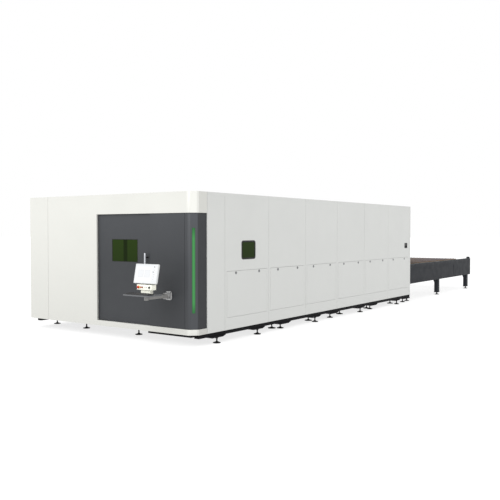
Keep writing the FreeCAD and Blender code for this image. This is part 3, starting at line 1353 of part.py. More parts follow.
def console_tray():
    """Keyboard tray with its swivel pin below, and the neck and mast above it."""
    x = CONSOLE_X
    y = CONSOLE_Y
    half = TRAY_WIDTH / 2
    plate = box(x - half, x + half, y - TRAY_LENGTH, y + TRAY_REAR, CONSOLE_HEIGHT, TRAY_TOP)
    plate = round_edges(plate, TRAY_EDGE, Z_AXIS)
    flange = rod(x, y, ARM_TOP + EAR_GAP, ARM_RADIUS, CONSOLE_HEIGHT - ARM_TOP - EAR_GAP)
    pin = rod(x, y, ARM_MIDDLE - ARM_RADIUS + 2, PIN_RADIUS, 2 * ARM_RADIUS)
    wide = NECK_WIDTH / 2
    neck = box(x - wide, x + wide, y - NECK_FRONT, y + CONTROL_DEPTH / 2, TRAY_TOP, CONTROL_LOW)
    wide = MAST_WIDTH / 2
    thin = MAST_THICKNESS / 2
    mast = box(x - wide, x + wide, MAST_Y - thin, MAST_Y + thin, TRAY_TOP, HINGE_Z)
    reach = HINGE_BARREL_LENGTH / 2
    barrel = rod(x - reach, MAST_Y, HINGE_Z, HINGE_BARREL_RADIUS, HINGE_BARREL_LENGTH, V(1, 0, 0))
    tray_part = fuse([plate, flange, pin, neck, mast, barrel])
    deep = HINGE_NOTCH_HALF
    for side in (-1, 1):
        a, b = sorted((x + side * reach, x + side * (wide + 1)))
        tray_part = tray_part.cut(box(a, b, MAST_Y - deep, MAST_Y + deep,
                                      HINGE_Z - HINGE_NOTCH_DEPTH, HINGE_Z + deep))
    bore = HINGE_PIN + PIN_GAP
    return tray_part.cut(rod(x - reach - 1, MAST_Y, HINGE_Z, bore, HINGE_BARREL_LENGTH + 2, V(1, 0, 0)))


def keyboard():
    """Keyboard lying on the tray."""
    x = CONSOLE_X
    y1 = CONSOLE_Y - KEYBOARD_GAP
    half = KEYBOARD_WIDTH / 2
    slab = box(x - half, x + half, y1 - KEYBOARD_LENGTH, y1, TRAY_TOP, TRAY_TOP + KEYBOARD_HEIGHT)
    return round_edges(slab, KEYBOARD_EDGE, Z_AXIS)


def control_z():
    """Height of the controls' centres."""
    return (CONTROL_LOW + CONTROL_HIGH) / 2


def control_box():
    """Sheet control box with a hole for each control's stem."""
    x = CONSOLE_X
    half = CONTROL_WIDTH / 2
    case = tube(x - half, x + half, CONTROL_FACE, CONTROL_FACE + CONTROL_DEPTH, CONTROL_LOW,
                CONTROL_HIGH, CONTROL_WALL)
    for offset, stem, _, _ in CONTROLS.values():
        case = case.cut(rod(x + offset, CONTROL_FACE - 1, control_z(), stem + BUTTON_GAP,
                            CONTROL_WALL + 2, V(0, 1, 0)))
    return case


def push_control(name):
    """A round-headed control on its stem, standing off the box by its travel."""
    offset, stem_radius, head_radius, head_depth = CONTROLS[name]
    x = CONSOLE_X + offset
    off = BUTTON_TRAVEL + BUTTON_STANDOFF
    along = V(0, 1, 0)
    head = rod(x, CONTROL_FACE - off - head_depth, control_z(), head_radius, head_depth, along)
    stem = rod(x, CONTROL_FACE - off, control_z(), stem_radius, off + CONTROL_WALL + STEM_TAIL, along)
    return fuse([head, stem])


def mode_switch():
    """Rotary switch: a round base with a raised grip bar."""
    offset, _, radius, depth = CONTROLS["mode_switch"]
    x = CONSOLE_X + offset
    y = CONTROL_FACE - BUTTON_TRAVEL - BUTTON_STANDOFF - depth
    half = GRIP_WIDTH / 2
    grip = box(x - half, x + half, y - GRIP_DEPTH, y, control_z() - radius, control_z() + radius)
    return fuse([push_control("mode_switch"), grip])


def tilt_monitor(shape):
    """Moves a piece drawn upright about the monitor's hinge to its place."""
    shape.rotate(V(0, 0, 0), V(1, 0, 0), -MONITOR_TILT)
    shape.translate(V(CONSOLE_X, MAST_Y, HINGE_Z))
    return shape


def monitor():
    """Monitor case with a recessed screen seat and two hinge lugs with their pin."""
    half = MONITOR_WIDTH / 2
    tall = MONITOR_HEIGHT / 2
    back = -MONITOR_STANDOFF
    front = back - MONITOR_DEPTH
    case = round_edges(box(-half, half, front, back, -tall, tall), MONITOR_EDGE, V(0, 1, 0))
    half -= MONITOR_BEZEL
    tall -= MONITOR_BEZEL
    case = case.cut(box(-half, half, front - 1, front + SCREEN_SEAT, -tall, tall))
    along = V(1, 0, 0)
    parts = [case, rod(-LUG_REACH, 0, 0, HINGE_PIN, 2 * LUG_REACH, along)]
    for x in (-LUG_REACH, LUG_REACH - LUG_WIDTH):
        parts.append(box(x, x + LUG_WIDTH, back - 1, 0, -LUG_RADIUS, LUG_RADIUS))
        parts.append(rod(x, 0, 0, LUG_RADIUS, LUG_WIDTH, along))
    return tilt_monitor(fuse(parts))


def screen():
    """Flat screen in the monitor's seat."""
    half = MONITOR_WIDTH / 2 - MONITOR_BEZEL
    tall = MONITOR_HEIGHT / 2 - MONITOR_BEZEL
    front = -MONITOR_STANDOFF - MONITOR_DEPTH
    return tilt_monitor(box(-half, half, front + SCREEN_SINK, front + SCREEN_SEAT, -tall, tall))


# ---------------------------------------------------------------- all nodes
def build_nodes():
    """Every node's shape by name, in the layout frame."""
    nodes = {
        "base_frame": base_frame(), "levelling_feet": levelling_feet(),
        "enclosure_frame": enclosure_frame(), "roof_panels": roof_panels(),
        "front_surround": front_surround(), "front_end_panel": front_end_panel(),
        "corner_cover": corner_cover(), "led_strip": led_strip(), "console_panel": console_panel(),
        "sliding_door": sliding_door(), "door_window": door_window(), "door_handle": door_handle(),
        "door_rollers": door_rollers(), "door_track": door_track(),
        "side_panels": group(end_panels() + [side_panel(bay) for bay in range(BAY_COUNT)]),
        "side_window": side_window(), "side_latch": side_latch(), "left_side_panels": left_side_panels(),
        "rear_panel": rear_panel(), "rear_door": rear_door(), "rear_door_guides": rear_door_guides(),
        "bed_frame": bed_frame(), "bed_rails": bed_rails(), "gantry_beam": gantry_beam(),
        "gantry_blocks": gantry_blocks(), "cross_rails": cross_rails(), "carriage": carriage(),
        "cutting_head": cutting_head(), "nozzle": nozzle(),
        "inner_pallet": pallet(False), "inner_slats": slats(False),
        "outer_pallet": pallet(True), "outer_slats": slats(True),
        "table_frame": table_frame(), "exchange_drive": exchange_drive(),
        "laser_source": laser_source(), "electrical_cabinet": electrical_cabinet(),
        "console_bracket": console_bracket(), "console_arm": console_arm(),
        "console_tray": console_tray(), "keyboard": keyboard(), "control_box": control_box(),
        "emergency_stop": push_control("emergency_stop"),
        "start_button": push_control("start_button"),
        "reset_button": push_control("reset_button"), "mode_switch": mode_switch(),
        "monitor": monitor(), "screen": screen(),
    }
    for bay in range(BAY_COUNT):
        nodes[f"access_panel_{bay + 1}"] = access_panel(bay)
        nodes[f"access_locks_{bay + 1}"] = access_locks(bay)
    return nodes


NODES = build_nodes()
LAYOUT_BOX = Part.makeCompound(list(NODES.values())).BoundBox
ORIGIN = V(LAYOUT_BOX.Center.x, LAYOUT_BOX.Center.y, LAYOUT_BOX.ZMin)

os.makedirs("parts", exist_ok=True)
for node_name, node_shape in NODES.items():
    node_shape.translate(-ORIGIN)
    node_shape.exportStep(f"parts/{node_name}.step")
    print(f"{node_name:20s} {len(node_shape.Solids):3d} solids  valid {node_shape.isValid()}"
          f"  {node_shape.Volume / 1e6:10.2f} dm3")
print("nodes", len(NODES), "box", LAYOUT_BOX.XLength, LAYOUT_BOX.YLength, LAYOUT_BOX.ZLength)
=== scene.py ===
"""Looks of the fibre laser cutting machine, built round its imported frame.

Every length is in metres in the frame's own axes: X across the machine, Y along
it from the operator's end to the pallet changer, Z up from the floor. A piece's
object stays at the origin and its place is in its mesh.
"""

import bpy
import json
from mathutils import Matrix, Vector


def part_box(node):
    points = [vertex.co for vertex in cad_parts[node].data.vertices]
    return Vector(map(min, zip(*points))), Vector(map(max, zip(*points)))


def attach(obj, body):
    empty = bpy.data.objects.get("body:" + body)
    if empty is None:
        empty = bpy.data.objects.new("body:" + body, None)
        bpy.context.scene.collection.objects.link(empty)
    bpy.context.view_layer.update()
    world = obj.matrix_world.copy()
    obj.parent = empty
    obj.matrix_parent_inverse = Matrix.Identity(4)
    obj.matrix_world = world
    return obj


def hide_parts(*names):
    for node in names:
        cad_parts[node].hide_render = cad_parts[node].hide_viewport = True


bl_info = {
    "name": "Laser Cutting Machine Looks",
    "version": (1, 0, 0),
    "blender": (4, 5, 0),
    "location": "3D View > Sidebar > Laser Cutter",
    "description": "Builds the finishes and fine pieces of an enclosed laser cutting machine",
    "category": "Object",
}

import json
import math
import bpy
import numpy as np
from bpy.props import FloatProperty, FloatVectorProperty, IntProperty, PointerProperty
from mathutils import Matrix

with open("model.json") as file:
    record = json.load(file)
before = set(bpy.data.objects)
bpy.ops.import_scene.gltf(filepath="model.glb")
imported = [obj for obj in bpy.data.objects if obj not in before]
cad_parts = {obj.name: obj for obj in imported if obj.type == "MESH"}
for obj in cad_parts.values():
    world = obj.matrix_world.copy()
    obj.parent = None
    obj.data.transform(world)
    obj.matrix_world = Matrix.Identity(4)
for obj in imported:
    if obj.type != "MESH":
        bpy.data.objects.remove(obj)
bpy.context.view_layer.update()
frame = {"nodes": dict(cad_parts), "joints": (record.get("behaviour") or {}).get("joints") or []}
X, Y, Z = 0, 1, 2
ACCESS_COUNT = 6
WELD_REACH = 1e-5                # corners closer than this are one corner
FLAT_ANGLE = math.radians(0.5)   # faces that meet flatter than this are one face
FOLD_ANGLE = math.radians(40)    # edges sharper than this are rounded
FOLD_STEPS = 2
LATCH_FOLD, LOCK_FOLD = 0.0012, 0.0008
CLEARANCE = 0.0005               # gap between pieces that turn on each other
CROWN_SHARE = 0.96               # share of a quarter turn that a dome covers
FLOOR_SHADE_TOP = 1.95                  # height at which the painted shade towards the floor has faded out
# Turns that stand a flat shape up, to face out of the side or out of the front.
FACING_SIDE = ((0, 0, 1), (1, 0, 0), (0, 1, 0))
FACING_FRONT = ((1, 0, 0), (0, 0, -1), (0, 1, 0))


def span(node):
    """Lowest and highest corner of a frame node, as arrays."""
    low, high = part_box(node)
    return np.array(low), np.array(high)


def middle(node):
    """Centre of a frame node's box."""
    low, high = span(node)
    return (low + high) / 2


# ------------------------------------------------------------------ settings
def length(name, description, default):
    """A length property in metres."""
    return FloatProperty(name=name, description=description, default=default, min=0.0,
                         subtype="DISTANCE", unit="LENGTH", precision=4)


def colour(name, description, default):
    """A linear colour property."""
    return FloatVectorProperty(name=name, description=description, default=default, size=3,
                               min=0.0, max=1.0, subtype="COLOR")


def angular(name, description, degrees):
    """An angle property, its default given in degrees."""
    return FloatProperty(name=name, description=description, default=math.radians(degrees),
                         subtype="ANGLE")


def plain(name, description, default):
    """A property that is a bare number."""
    return FloatProperty(name=name, description=description, default=default)


class CutterSizes(bpy.types.PropertyGroup):
    """Sizes of the fine pieces that a user would change."""

    gasket_width: length("Gasket width", "Width of the side window's rubber edging", 0.026)
    gasket_height: length("Gasket height", "How far the rubber stands off the sheet", 0.005)
    tooth_pitch: length("Tooth pitch", "Distance between the tips of a slat's teeth", 0.048)
    tooth_depth: length("Tooth depth", "Depth of the notches in a slat", 0.018)
    thread_pitch: length("Thread pitch", "Pitch of the levelling studs' thread", 0.004)
    key_pitch: length("Key pitch", "Distance between neighbouring keys", 0.0191)
    key_height: length("Key height", "Height of a key above the keyboard", 0.006)
    fold: length("Fold radius", "Rounding of the sheets' folds and the frames' edges", 0.0018)
    stud_radius: length("Stud radius", "Radius of the levelling feet's studs", 0.012)
    foot_plate: length("Foot plate", "Length of the plates under the changer's legs", 0.17)
    corner_chamfer: length("Corner chamfer", "Leg of the soft front corner", 0.108)
    # The post behind the door's glass is painted into the glass as a dark strip of shade; these two
    # set that strip's width and place.
    mullion_shade_width: length("Mullion width", "Width of the post behind the door's glass", 0.085)
    mullion_shade_offset: length("Mullion offset", "Mullion's centre, right of the window's", 0.012)
    window_lap: length("Window lap", "Lap of the side pane behind its opening", 0.014)
    window_radius: length("Window radius", "Corner radius of the side window", 0.034)
    seal_width: length("Seal width", "Width of the rubber round the door's window", 0.009)
    lamp_width: length("Lamp width", "Width of the status lamp's diffuser", 0.056)
    lamp_depth: length("Lamp depth", "Depth of the diffuser before its flange", 0.0065)
    lamp_flange: length("Lamp flange", "Lap of the lamp's flange at its ends", 0.010)
    handle_inset: length("Stand-off inset", "Door handle's stand-offs from its ends", 0.0705)
    bracket_plate: length("Bracket plate", "Thickness of the wall bracket's plate", 0.010)
    bracket_relief: length("Bracket relief", "Wall plate's ends short of its seat", 0.014)
    ear_thickness: length("Ear thickness", "Thickness of the bracket's two ears", 0.010)
    pin_radius: length("Pin radius", "Radius of the arm's hinge pins", 0.010)
    pilot_radius: length("Pilot radius", "Radius of the pilot lights' rims", 0.0055)
    pilot_pitch: length("Pilot pitch", "Distance between the pilot lights", 0.026)
    tray_thickness: length("Tray thickness", "Thickness of the keyboard tray", 0.016)
    mast_width: length("Mast width", "Width of the monitor's mast", 0.080)
    mast_thickness: length("Mast thickness", "Thickness of the monitor's mast", 0.012)
    knuckle_length: length("Knuckle length", "Length of the mast's hinge knuckle", 0.040)
    monitor_width: length("Monitor width", "Width of the monitor's case", 0.444)
    monitor_height: length("Monitor height", "Height of the monitor's case", 0.284)
    monitor_depth: length("Monitor depth", "Depth of the monitor's case", 0.046)
    monitor_bezel: length("Monitor bezel", "Width of the rim round the screen", 0.011)
    monitor_standoff: length("Monitor stand-off", "Hinge to the case's rear face", 0.018)
    monitor_tilt: angular("Monitor tilt", "Lean of the monitor at rest", 12)
    lug_reach: length("Lug reach", "Outer faces of the hinge lugs from the middle", 0.032)
    lug_width: length("Lug width", "Width of each hinge lug", 0.0116)
    round_steps: IntProperty(name="Round steps", description="Points in a quarter turn of an edge",
                             default=4, min=2, max=12)


class CutterColours(bpy.types.PropertyGroup):
    """Paints and plastics that a user would change."""

    panel: colour("Panels", "Powder coat of the enclosure's sheets", (0.570, 0.578, 0.562))
    dark: colour("Dark panels", "Powder coat of the door and corner", (0.046, 0.049, 0.054))
    frame: colour("Frame", "Paint of the enclosure's frame", (0.36, 0.37, 0.38))
    base: colour("Base", "Paint of the base under the enclosure", (0.008, 0.008, 0.009))
    changer: colour("Pallet changer", "Paint of the changer's frame", (0.022, 0.024, 0.028))
    glass: colour("Laser glass", "Tint of the windows", (0.0145, 0.0285, 0.0042))
    lamp: colour("Status lamp", "Light of the status lamp", (0.060, 0.270, 0.080))
    console: colour("Console", "Paint of the console's arm and tray", (0.250, 0.246, 0.238))
    control: colour("Control box", "Paint of the control box", (0.93, 0.93, 0.82))


class CutterStudio(bpy.types.PropertyGroup):
    """The camera's place and the strength of the light."""

    eye: FloatVectorProperty(name="Eye", description="Place of the camera", size=3,
                             default=(8.215, -13.6005, 1.696), subtype="TRANSLATION",
                             unit="LENGTH")
    turn: angular("Turn", "Camera's turn from looking along +Y", 35.4)
    dip: angular("Dip", "How far the camera looks down", 1.62)
    lens: plain("Lens", "Focal length on a 36 mm film", 49.2)
    floor_reach: length("Floor reach", "Half the side of the studio floor", 150.0)
    sky: plain("Sky", "Brightness of the white surroundings", 1.0)
    key: plain("Key", "Strength of the light before the machine", 1.78)
    key_turn: angular("Key turn", "Direction that the key light shines in", 3)
    key_lift: angular("Key lift", "Height of the key light above the horizon", 35)
    key_softness: angular("Key softness", "Angle that the key light fills in the sky", 50)


def sizes():
    """The sizes in use."""
    return bpy.context.scene.cutter_sizes


def paints():
    """The colours in use."""
    return bpy.context.scene.cutter_colours


# ------------------------------------------------------------------ shapes
# A shape is a pair: an array of points, and a list of arrays of faces, one array
# for each number of corners.
def grid_faces(rows, columns, wrap_rows=False, wrap_columns=False):
    """Four-cornered faces between neighbouring rows and columns of a grid of points."""
    i = np.arange(rows if wrap_rows else rows - 1)[:, None]
    j = np.arange(columns if wrap_columns else columns - 1)[None, :]
    after_i = (i + 1) % rows
    after_j = (j + 1) % columns
    corners = [i * columns + j, i * columns + after_j,
               after_i * columns + after_j, after_i * columns + j]
    return np.stack(np.broadcast_arrays(*corners), -1).reshape(-1, 4)


def outward(shape):
    """The closed shape with its faces turned so that its volume is positive."""
    points, faces = shape
    volume = 0.0
    for f in faces:
        p = points[f]
        fan = np.cross(p[:, 1:-1], p[:, 2:])
        volume += (p[:, :1] * fan).sum()
    return shape if volume > 0 else (points, [f[:, ::-1] for f in faces])


def lofted(rings):
    """Closed skin over a stack of rings of points: four-cornered faces join neighbouring
    rings, and flat faces close the first and the last."""
    rows, count = rings.shape[:2]
    ends = np.stack([np.arange(count)[::-1], np.arange(count) + (rows - 1) * count])
    faces = [grid_faces(rows, count, wrap_columns=True), ends]
    return outward((rings.reshape(-1, 3), faces))


def moved(shape, at=(0, 0, 0), turn=None):
    """The shape turned by a 3 by 3 matrix and moved."""
    points = shape[0] if turn is None else shape[0] @ np.asarray(turn, float).T
    return points + np.asarray(at, float), shape[1]


def copies(shape, places):
    """One copy of the shape at each place."""
    places = np.atleast_2d(places)
    points, faces = shape
    step = np.arange(len(places))[:, None, None] * len(points)
    return ((points[None] + places[:, None]).reshape(-1, 3),
            [(f[None] + step).reshape(-1, f.shape[1]) for f in faces])


def four_corners(reach, rise):
    """The corners of a rectangle about the origin, from its two half sides."""
    return [(i * reach, k * rise) for i in (-1, 1) for k in (-1, 1)]


def joined(*shapes):
    """Several shapes as one."""
    starts = np.cumsum([0] + [len(s[0]) for s in shapes[:-1]])
    return (np.concatenate([s[0] for s in shapes]),
            [f + start for s, start in zip(shapes, starts) for f in s[1]])


def turned(profile, segments=32, axis=Z):
    """Surface of revolution: each radius and height of the profile goes once round the
    axis, and flat discs close the two ends."""
    radius, height = np.asarray(profile, float).T
    angle = np.linspace(0, 2 * math.pi, segments, endpoint=False)
    ring = [radius[:, None] * np.cos(angle), radius[:, None] * np.sin(angle),
            height[:, None] + 0 * angle]
    order = {X: (2, 0, 1), Y: (0, 2, 1), Z: (0, 1, 2)}[axis]
    return lofted(np.stack([ring[k] for k in order], -1))


def rounded_outline(width, depth, radius, steps):
    """Rectangle about the origin whose corners are quarter circles of the radius."""
    radius = max(radius, 1e-5)
    angle = np.linspace(0, math.pi / 2, steps + 1)
    quarters = []
    for k, (sx, sy) in enumerate(((1, 1), (-1, 1), (-1, -1), (1, -1))):
        turn = angle + k * math.pi / 2
        centre = np.array([sx * (width / 2 - radius), sy * (depth / 2 - radius)])
        quarters.append(centre + radius * np.stack([np.cos(turn), np.sin(turn)], -1))
    return np.concatenate(quarters)


def raised(outlines, levels, axis=Z):
    """Flat outlines set across the axis, each at its own level, as rings of points."""
    across = [k for k in (X, Y, Z) if k != axis]
    points = np.empty(outlines.shape[:2] + (3,))
    points[..., across[0]] = outlines[..., 0]
    points[..., across[1]] = outlines[..., 1]
    points[..., axis] = np.asarray(levels)[:, None]
    return points


def stacked(rings, steps, axis=Z):
    """Closed skin through rounded rectangles: each ring is its width, depth, corner
    radius and level along the axis."""
    outlines = np.stack([rounded_outline(w, d, r, steps) for w, d, r, _ in rings])
    return lofted(raised(outlines, [level for *_, level in rings], axis))


def block(size, at, edge, corner=0.0, axis=Z):
    """Rounded block about a centre: rounded rectangles are stacked along the axis, and
    near both ends each is inset by edge times one minus the sine of a quarter turn.
    The limits on both radii leave a narrow flat between two roundings."""
    steps = sizes().round_steps
    width, depth = (size[k] for k in (X, Y, Z) if k != axis)
    tall = size[axis]
    edge = min(edge, tall / 2.01, width / 2.01, depth / 2.01)
    corner = min(max(corner, edge), width / 2.001, depth / 2.001)
    turn = np.linspace(0, math.pi / 2, steps + 1)
    inset = edge * (1 - np.sin(turn))
    rise = edge * (1 - np.cos(turn)) - tall / 2
    insets = np.concatenate([inset, inset[::-1]])
    levels = np.concatenate([rise, -rise[::-1]])
    rings = [(width - 2 * i, depth - 2 * i, corner - i, level) for i, level in zip(insets, levels)]
    return moved(stacked(rings, steps, axis), at)


def carried(section, path, sides, ups):
    """Section carried once round a closed path: at each path point, the section's first
    number goes along the side direction and its second along the up direction."""
    points = (path[:, None] + section[None, :, :1] * sides[:, None]
              + section[None, :, 1:] * ups[:, None])
    faces = grid_faces(*points.shape[:2], wrap_rows=True, wrap_columns=True)
    return outward((points.reshape(-1, 3), [faces]))


def dome(radius, height, base, steps=6):
    """Profile of a low dome for turned(): a quarter ellipse from the rim to just short of
    the crown, which the turning closes flat."""
    turn = np.linspace(0, math.pi / 2 * CROWN_SHARE, steps)
    return [(radius * math.cos(t), base + height * math.sin(t)) for t in turn]


def piece(name, shape, body, material, replaces=(), smooth=40.0):
    """A new mesh object that rides on a body."""
    points, faces = shape
    mesh = bpy.data.meshes.new(name)
    mesh.from_pydata(points.tolist(), [], [row for f in faces for row in f.tolist()])
    mesh.validate()
    mesh.polygons.foreach_set("use_smooth", np.ones(len(mesh.polygons), bool))
    mesh.set_sharp_from_angle(angle=math.radians(smooth))
    mesh.materials.append(material)
    obj = bpy.data.objects.new(name, mesh)
    bpy.context.scene.collection.objects.link(obj)
    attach(obj, body)
    if replaces:
        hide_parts(*replaces)
    return obj


def finish_node(material, *nodes):
    """Gives frame nodes their material."""
    for node in nodes:
        materials = frame["nodes"][node].data.materials
        materials.clear()
        materials.append(material)


# ------------------------------------------------------------------ finishes
class Finish:
    """A material and the few node steps that the finishes below are made from."""

    def __init__(self, name, roughness=0.5, metallic=0.0, **constants):
        self.material = bpy.data.materials.new(name)
        self.material.use_nodes = True
        self.nodes = self.material.node_tree.nodes
        self.links = self.material.node_tree.links
        self.shader = self.nodes["Principled BSDF"]
        self.shader.inputs["Roughness"].default_value = roughness
        self.shader.inputs["Metallic"].default_value = metallic
        for key, value in constants.items():
            socket = key.replace("_", " ").title().replace("Ior", "IOR")
            self.shader.inputs[socket].default_value = value
        self.place = self.nodes.new("ShaderNodeTexCoord").outputs["Object"]

    def put(self, kind, values=(), output=0, **settings):
        """A node with its settings, its inputs given by number as values or sockets."""
        node = self.nodes.new("ShaderNode" + kind)
        for key, value in settings.items():
            setattr(node, key, value)
        for key, value in dict(values).items():
            if isinstance(value, bpy.types.NodeSocket):
                self.links.new(value, node.inputs[key])
            else:
                node.inputs[key].default_value = value
        return node.outputs[output]

    def stretched(self, scale):
        """Object coordinates scaled on each axis."""
        return self.put("Mapping", {"Vector": self.place, "Scale": scale})

    def noise(self, scale, detail=2.0, place=None):
        """Noise from 0 to 1."""
        values = {"Vector": place or self.place, "Scale": scale, "Detail": detail}
        return self.put("TexNoise", values)

    def math(self, operation, a, b=0.0, limit=False):
        """One arithmetic step."""
        return self.put("Math", {0: a, 1: b}, operation=operation, use_clamp=limit)

    def fade(self, value, start, end, low=0.0, high=1.0):
        """Value carried from the range start..end to low..high, and held beyond it."""
        return self.put("MapRange", {"Value": value, "From Min": start, "From Max": end,
                                     "To Min": low, "To Max": high})

    def along(self, axis):
        """One Object coordinate."""
        return self.put("SeparateXYZ", {"Vector": self.place}, output=axis)

    def between(self, value, start, end):
        """1 where the value lies between start and end, otherwise 0."""
        above = self.math("GREATER_THAN", value, start)
        below = self.math("LESS_THAN", value, end)
        return self.math("MULTIPLY", above, below)

    def blend(self, share, first, second):
        """Colour between two colours by a share from 0 to 1."""
        node = self.nodes.new("ShaderNodeMix")
        node.data_type = "RGBA"
        for key, value in ((0, share), (6, first), (7, second)):
            if isinstance(value, bpy.types.NodeSocket):
                self.links.new(value, node.inputs[key])
            else:
                node.inputs[key].default_value = value if key == 0 else (*value, 1.0)
        return node.outputs[2]

    def paint(self, colour, socket="Base Color"):
        """Gives the shader a colour, as a value or a socket."""
        if isinstance(colour, bpy.types.NodeSocket):
            self.links.new(colour, self.shader.inputs[socket])
        else:
            self.shader.inputs[socket].default_value = (*colour, 1.0)

    def glow(self, colour, strength):
        """Lets the surface shine in a colour, as a value or a socket."""
        self.paint(colour, "Emission Color")
        self.shader.inputs["Emission Strength"].default_value = strength

    def rough(self, value):
        """Links the shader's roughness."""
        self.links.new(value, self.shader.inputs["Roughness"])

    def bump(self, height, distance, strength=1.0, before=None):
        """Fine relief of the surface, over an earlier relief if one is given."""
        values = {"Height": height, "Distance": distance, "Strength": strength}
        if before:
            values["Normal"] = before
        result = self.put("Bump", values)
        self.links.new(result, self.shader.inputs["Normal"])
        return result


def toned(base, factor):
    """A colour made lighter or darker by a factor."""
    return tuple(min(1.0, c * factor) for c in base)


FINISHES = {}


def finish(make):
    """Makes each finish once, under the name of its function."""
    def once():
        if make.__name__ not in FINISHES:
            FINISHES[make.__name__] = make(make.__name__)
        return FINISHES[make.__name__]
    return once


def painted_corner_light(f, colour, bend_highlight, side):
    """Painted light on the machine's soft front corner: the colour is multiplied by the highlight
    factor across the corner, a painted highlight, and by side beyond it, painted shade on the
    return, each reached over a short stretch of X."""
    edge = span("corner_cover")[1][X]
    fold = edge - sizes().corner_chamfer
    x = f.along(X)
    # Painted highlight across the corner's chamfer.
    rise = f.fade(x, fold - 0.030, fold + 0.010, 1.0, bend_highlight)
    # Painted shade on the return past the corner's edge.
    return_shade = f.fade(x, edge - 0.014, edge - 0.002, 1.0, side / bend_highlight)
    tone = f.math("MULTIPLY", rise, return_shade)
    return f.put("VectorMath", {0: colour, "Scale": tone}, operation="SCALE")


def powder_coat(name, base, gloss=0.4, grain=700.0, cloud=0.018, shine=0.5, floor_shade=1.0, low=0.2,
                bend_highlight=1.0, side=1.0):
    """Baked powder: orange-peel relief of two sizes and soft clouds in tone and gloss,
    with painted shade towards the floor: the tone carried from the floor shade factor at
    the height low to full near the roof. On the soft corner a painted highlight multiplies
    it by the highlight factor, and on the return behind it painted shade multiplies it by side."""
    f = Finish(name, gloss, specular_ior_level=shine)
    tone = f.fade(f.noise(1.3, 3.0), 0.3, 0.7)
    clouds_and_shade = f.blend(tone, toned(base, 1 - cloud), toned(base, 1 + cloud))
    # Painted shade: the colour darkens towards the floor.
    height = f.fade(f.along(Z), low, FLOOR_SHADE_TOP)
    clouds_and_shade = f.blend(height, toned(base, floor_shade), clouds_and_shade) if floor_shade < 1 else clouds_and_shade
    # Painted highlight on the soft corner and painted shade on the return behind it.
    f.paint(painted_corner_light(f, clouds_and_shade, bend_highlight, side) if bend_highlight > 1 else clouds_and_shade)
    f.rough(f.fade(f.noise(5.0, 4.0), 0.25, 0.75, gloss - 0.05, gloss + 0.07))
    wide = f.bump(f.noise(grain * 0.22, 1.0), 0.0004, 0.10)
    f.bump(f.noise(grain, 2.0), 0.00012, 0.25, before=wide)
    return f.material


@finish
def white_powder(name):
    """White of the sides, the roof and the rear, with faint painted shade towards the floor."""
    return powder_coat(name, paints().panel, 0.42, floor_shade=0.97)


@finish
def front_powder(name):
    """Warmer white of the front, with painted shade towards the floor and a painted highlight on
    its soft corner.
    """
    warm = tuple(c * w for c, w in zip(paints().panel, (1.012, 1.0, 0.970)))
    return powder_coat(name, warm, 0.42, floor_shade=0.86, bend_highlight=1.17)


# Below the height low the graphite's painted shade towards the floor is at its darkest.
GRAPHITE = {"gloss": 0.50, "grain": 480.0, "cloud": 0.05, "shine": 0.28, "low": 1.15}


@finish
def dark_powder(name):
    """Graphite powder, coarser than the white one, with painted shade towards the floor."""
    return powder_coat(name, paints().dark, floor_shade=0.72, **GRAPHITE)


@finish
def corner_powder_and_painted_light(name):
    """The graphite powder of the corner cover, with a painted highlight on its soft corner, painted
    shade on the return behind it and painted shade towards the floor.
    """
    return powder_coat(name, paints().dark, floor_shade=0.80, bend_highlight=1.40, side=0.70, **GRAPHITE)


@finish
def frame_paint(name):
    """Mid grey of the enclosure's frame."""
    return powder_coat(name, paints().frame, 0.45)


@finish
def base_paint(name):
    """Nearly black wet paint, dustier towards the floor."""
    f = Finish(name, 0.5, specular_ior_level=0.03)
    dust = f.math("MULTIPLY", f.fade(f.along(Z), 0.0, 0.16, 1.0, 0.0), f.noise(9.0, 5.0))
    f.paint(f.blend(dust, paints().base, toned(paints().base, 3.2)))
    f.rough(f.fade(dust, 0.0, 0.6, 0.42, 0.75))
    f.bump(f.noise(260.0, 3.0), 0.0003, 0.2)
    return f.material


@finish
def changer_paint(name):
    """Charcoal paint, rubbed lighter on top where sheets are loaded."""
    f = Finish(name, 0.45, specular_ior_level=0.05)
    base = paints().changer
    rubbed = f.fade(f.noise(34.0, 5.0), 0.52, 0.60)
    worn = f.math("MULTIPLY", f.fade(f.along(Z), 0.80, 0.93), rubbed)
    cloud = f.blend(f.noise(1.7, 3.0), toned(base, 0.93), toned(base, 1.07))
    f.paint(f.blend(f.math("MULTIPLY", worn, 0.35), cloud, (0.22, 0.22, 0.23)))
    f.rough(f.fade(f.noise(6.0, 4.0), 0.3, 0.7, 0.40, 0.52))
    f.bump(f.noise(420.0, 2.0), 0.0002, 0.25)
    return f.material


@finish
def bed_paint(name):
    """Grey machine enamel of the welded bed, with slag dust in its lower half."""
    f = Finish(name, 0.45)
    drift = f.fade(f.noise(11.0, 6.0), 0.4, 0.7)
    dust = f.math("MULTIPLY", f.fade(f.along(Z), 0.2, 0.7, 0.8, 0.0), drift)
    f.paint(f.blend(dust, (0.30, 0.31, 0.32), (0.075, 0.058, 0.045)))
    f.rough(f.fade(dust, 0.0, 0.5, 0.42, 0.8))
    f.bump(f.noise(150.0, 4.0), 0.0004, 0.25)
    return f.material


@finish
def gantry_enamel(name):
    """Pale grey of the gantry's beam and carriage."""
    return powder_coat(name, (0.55, 0.56, 0.56), 0.38)


@finish
def unit_paint(name):
    """Light grey of the laser source and the electrical cabinet."""
    return powder_coat(name, (0.48, 0.49, 0.48), 0.45, grain=520.0)


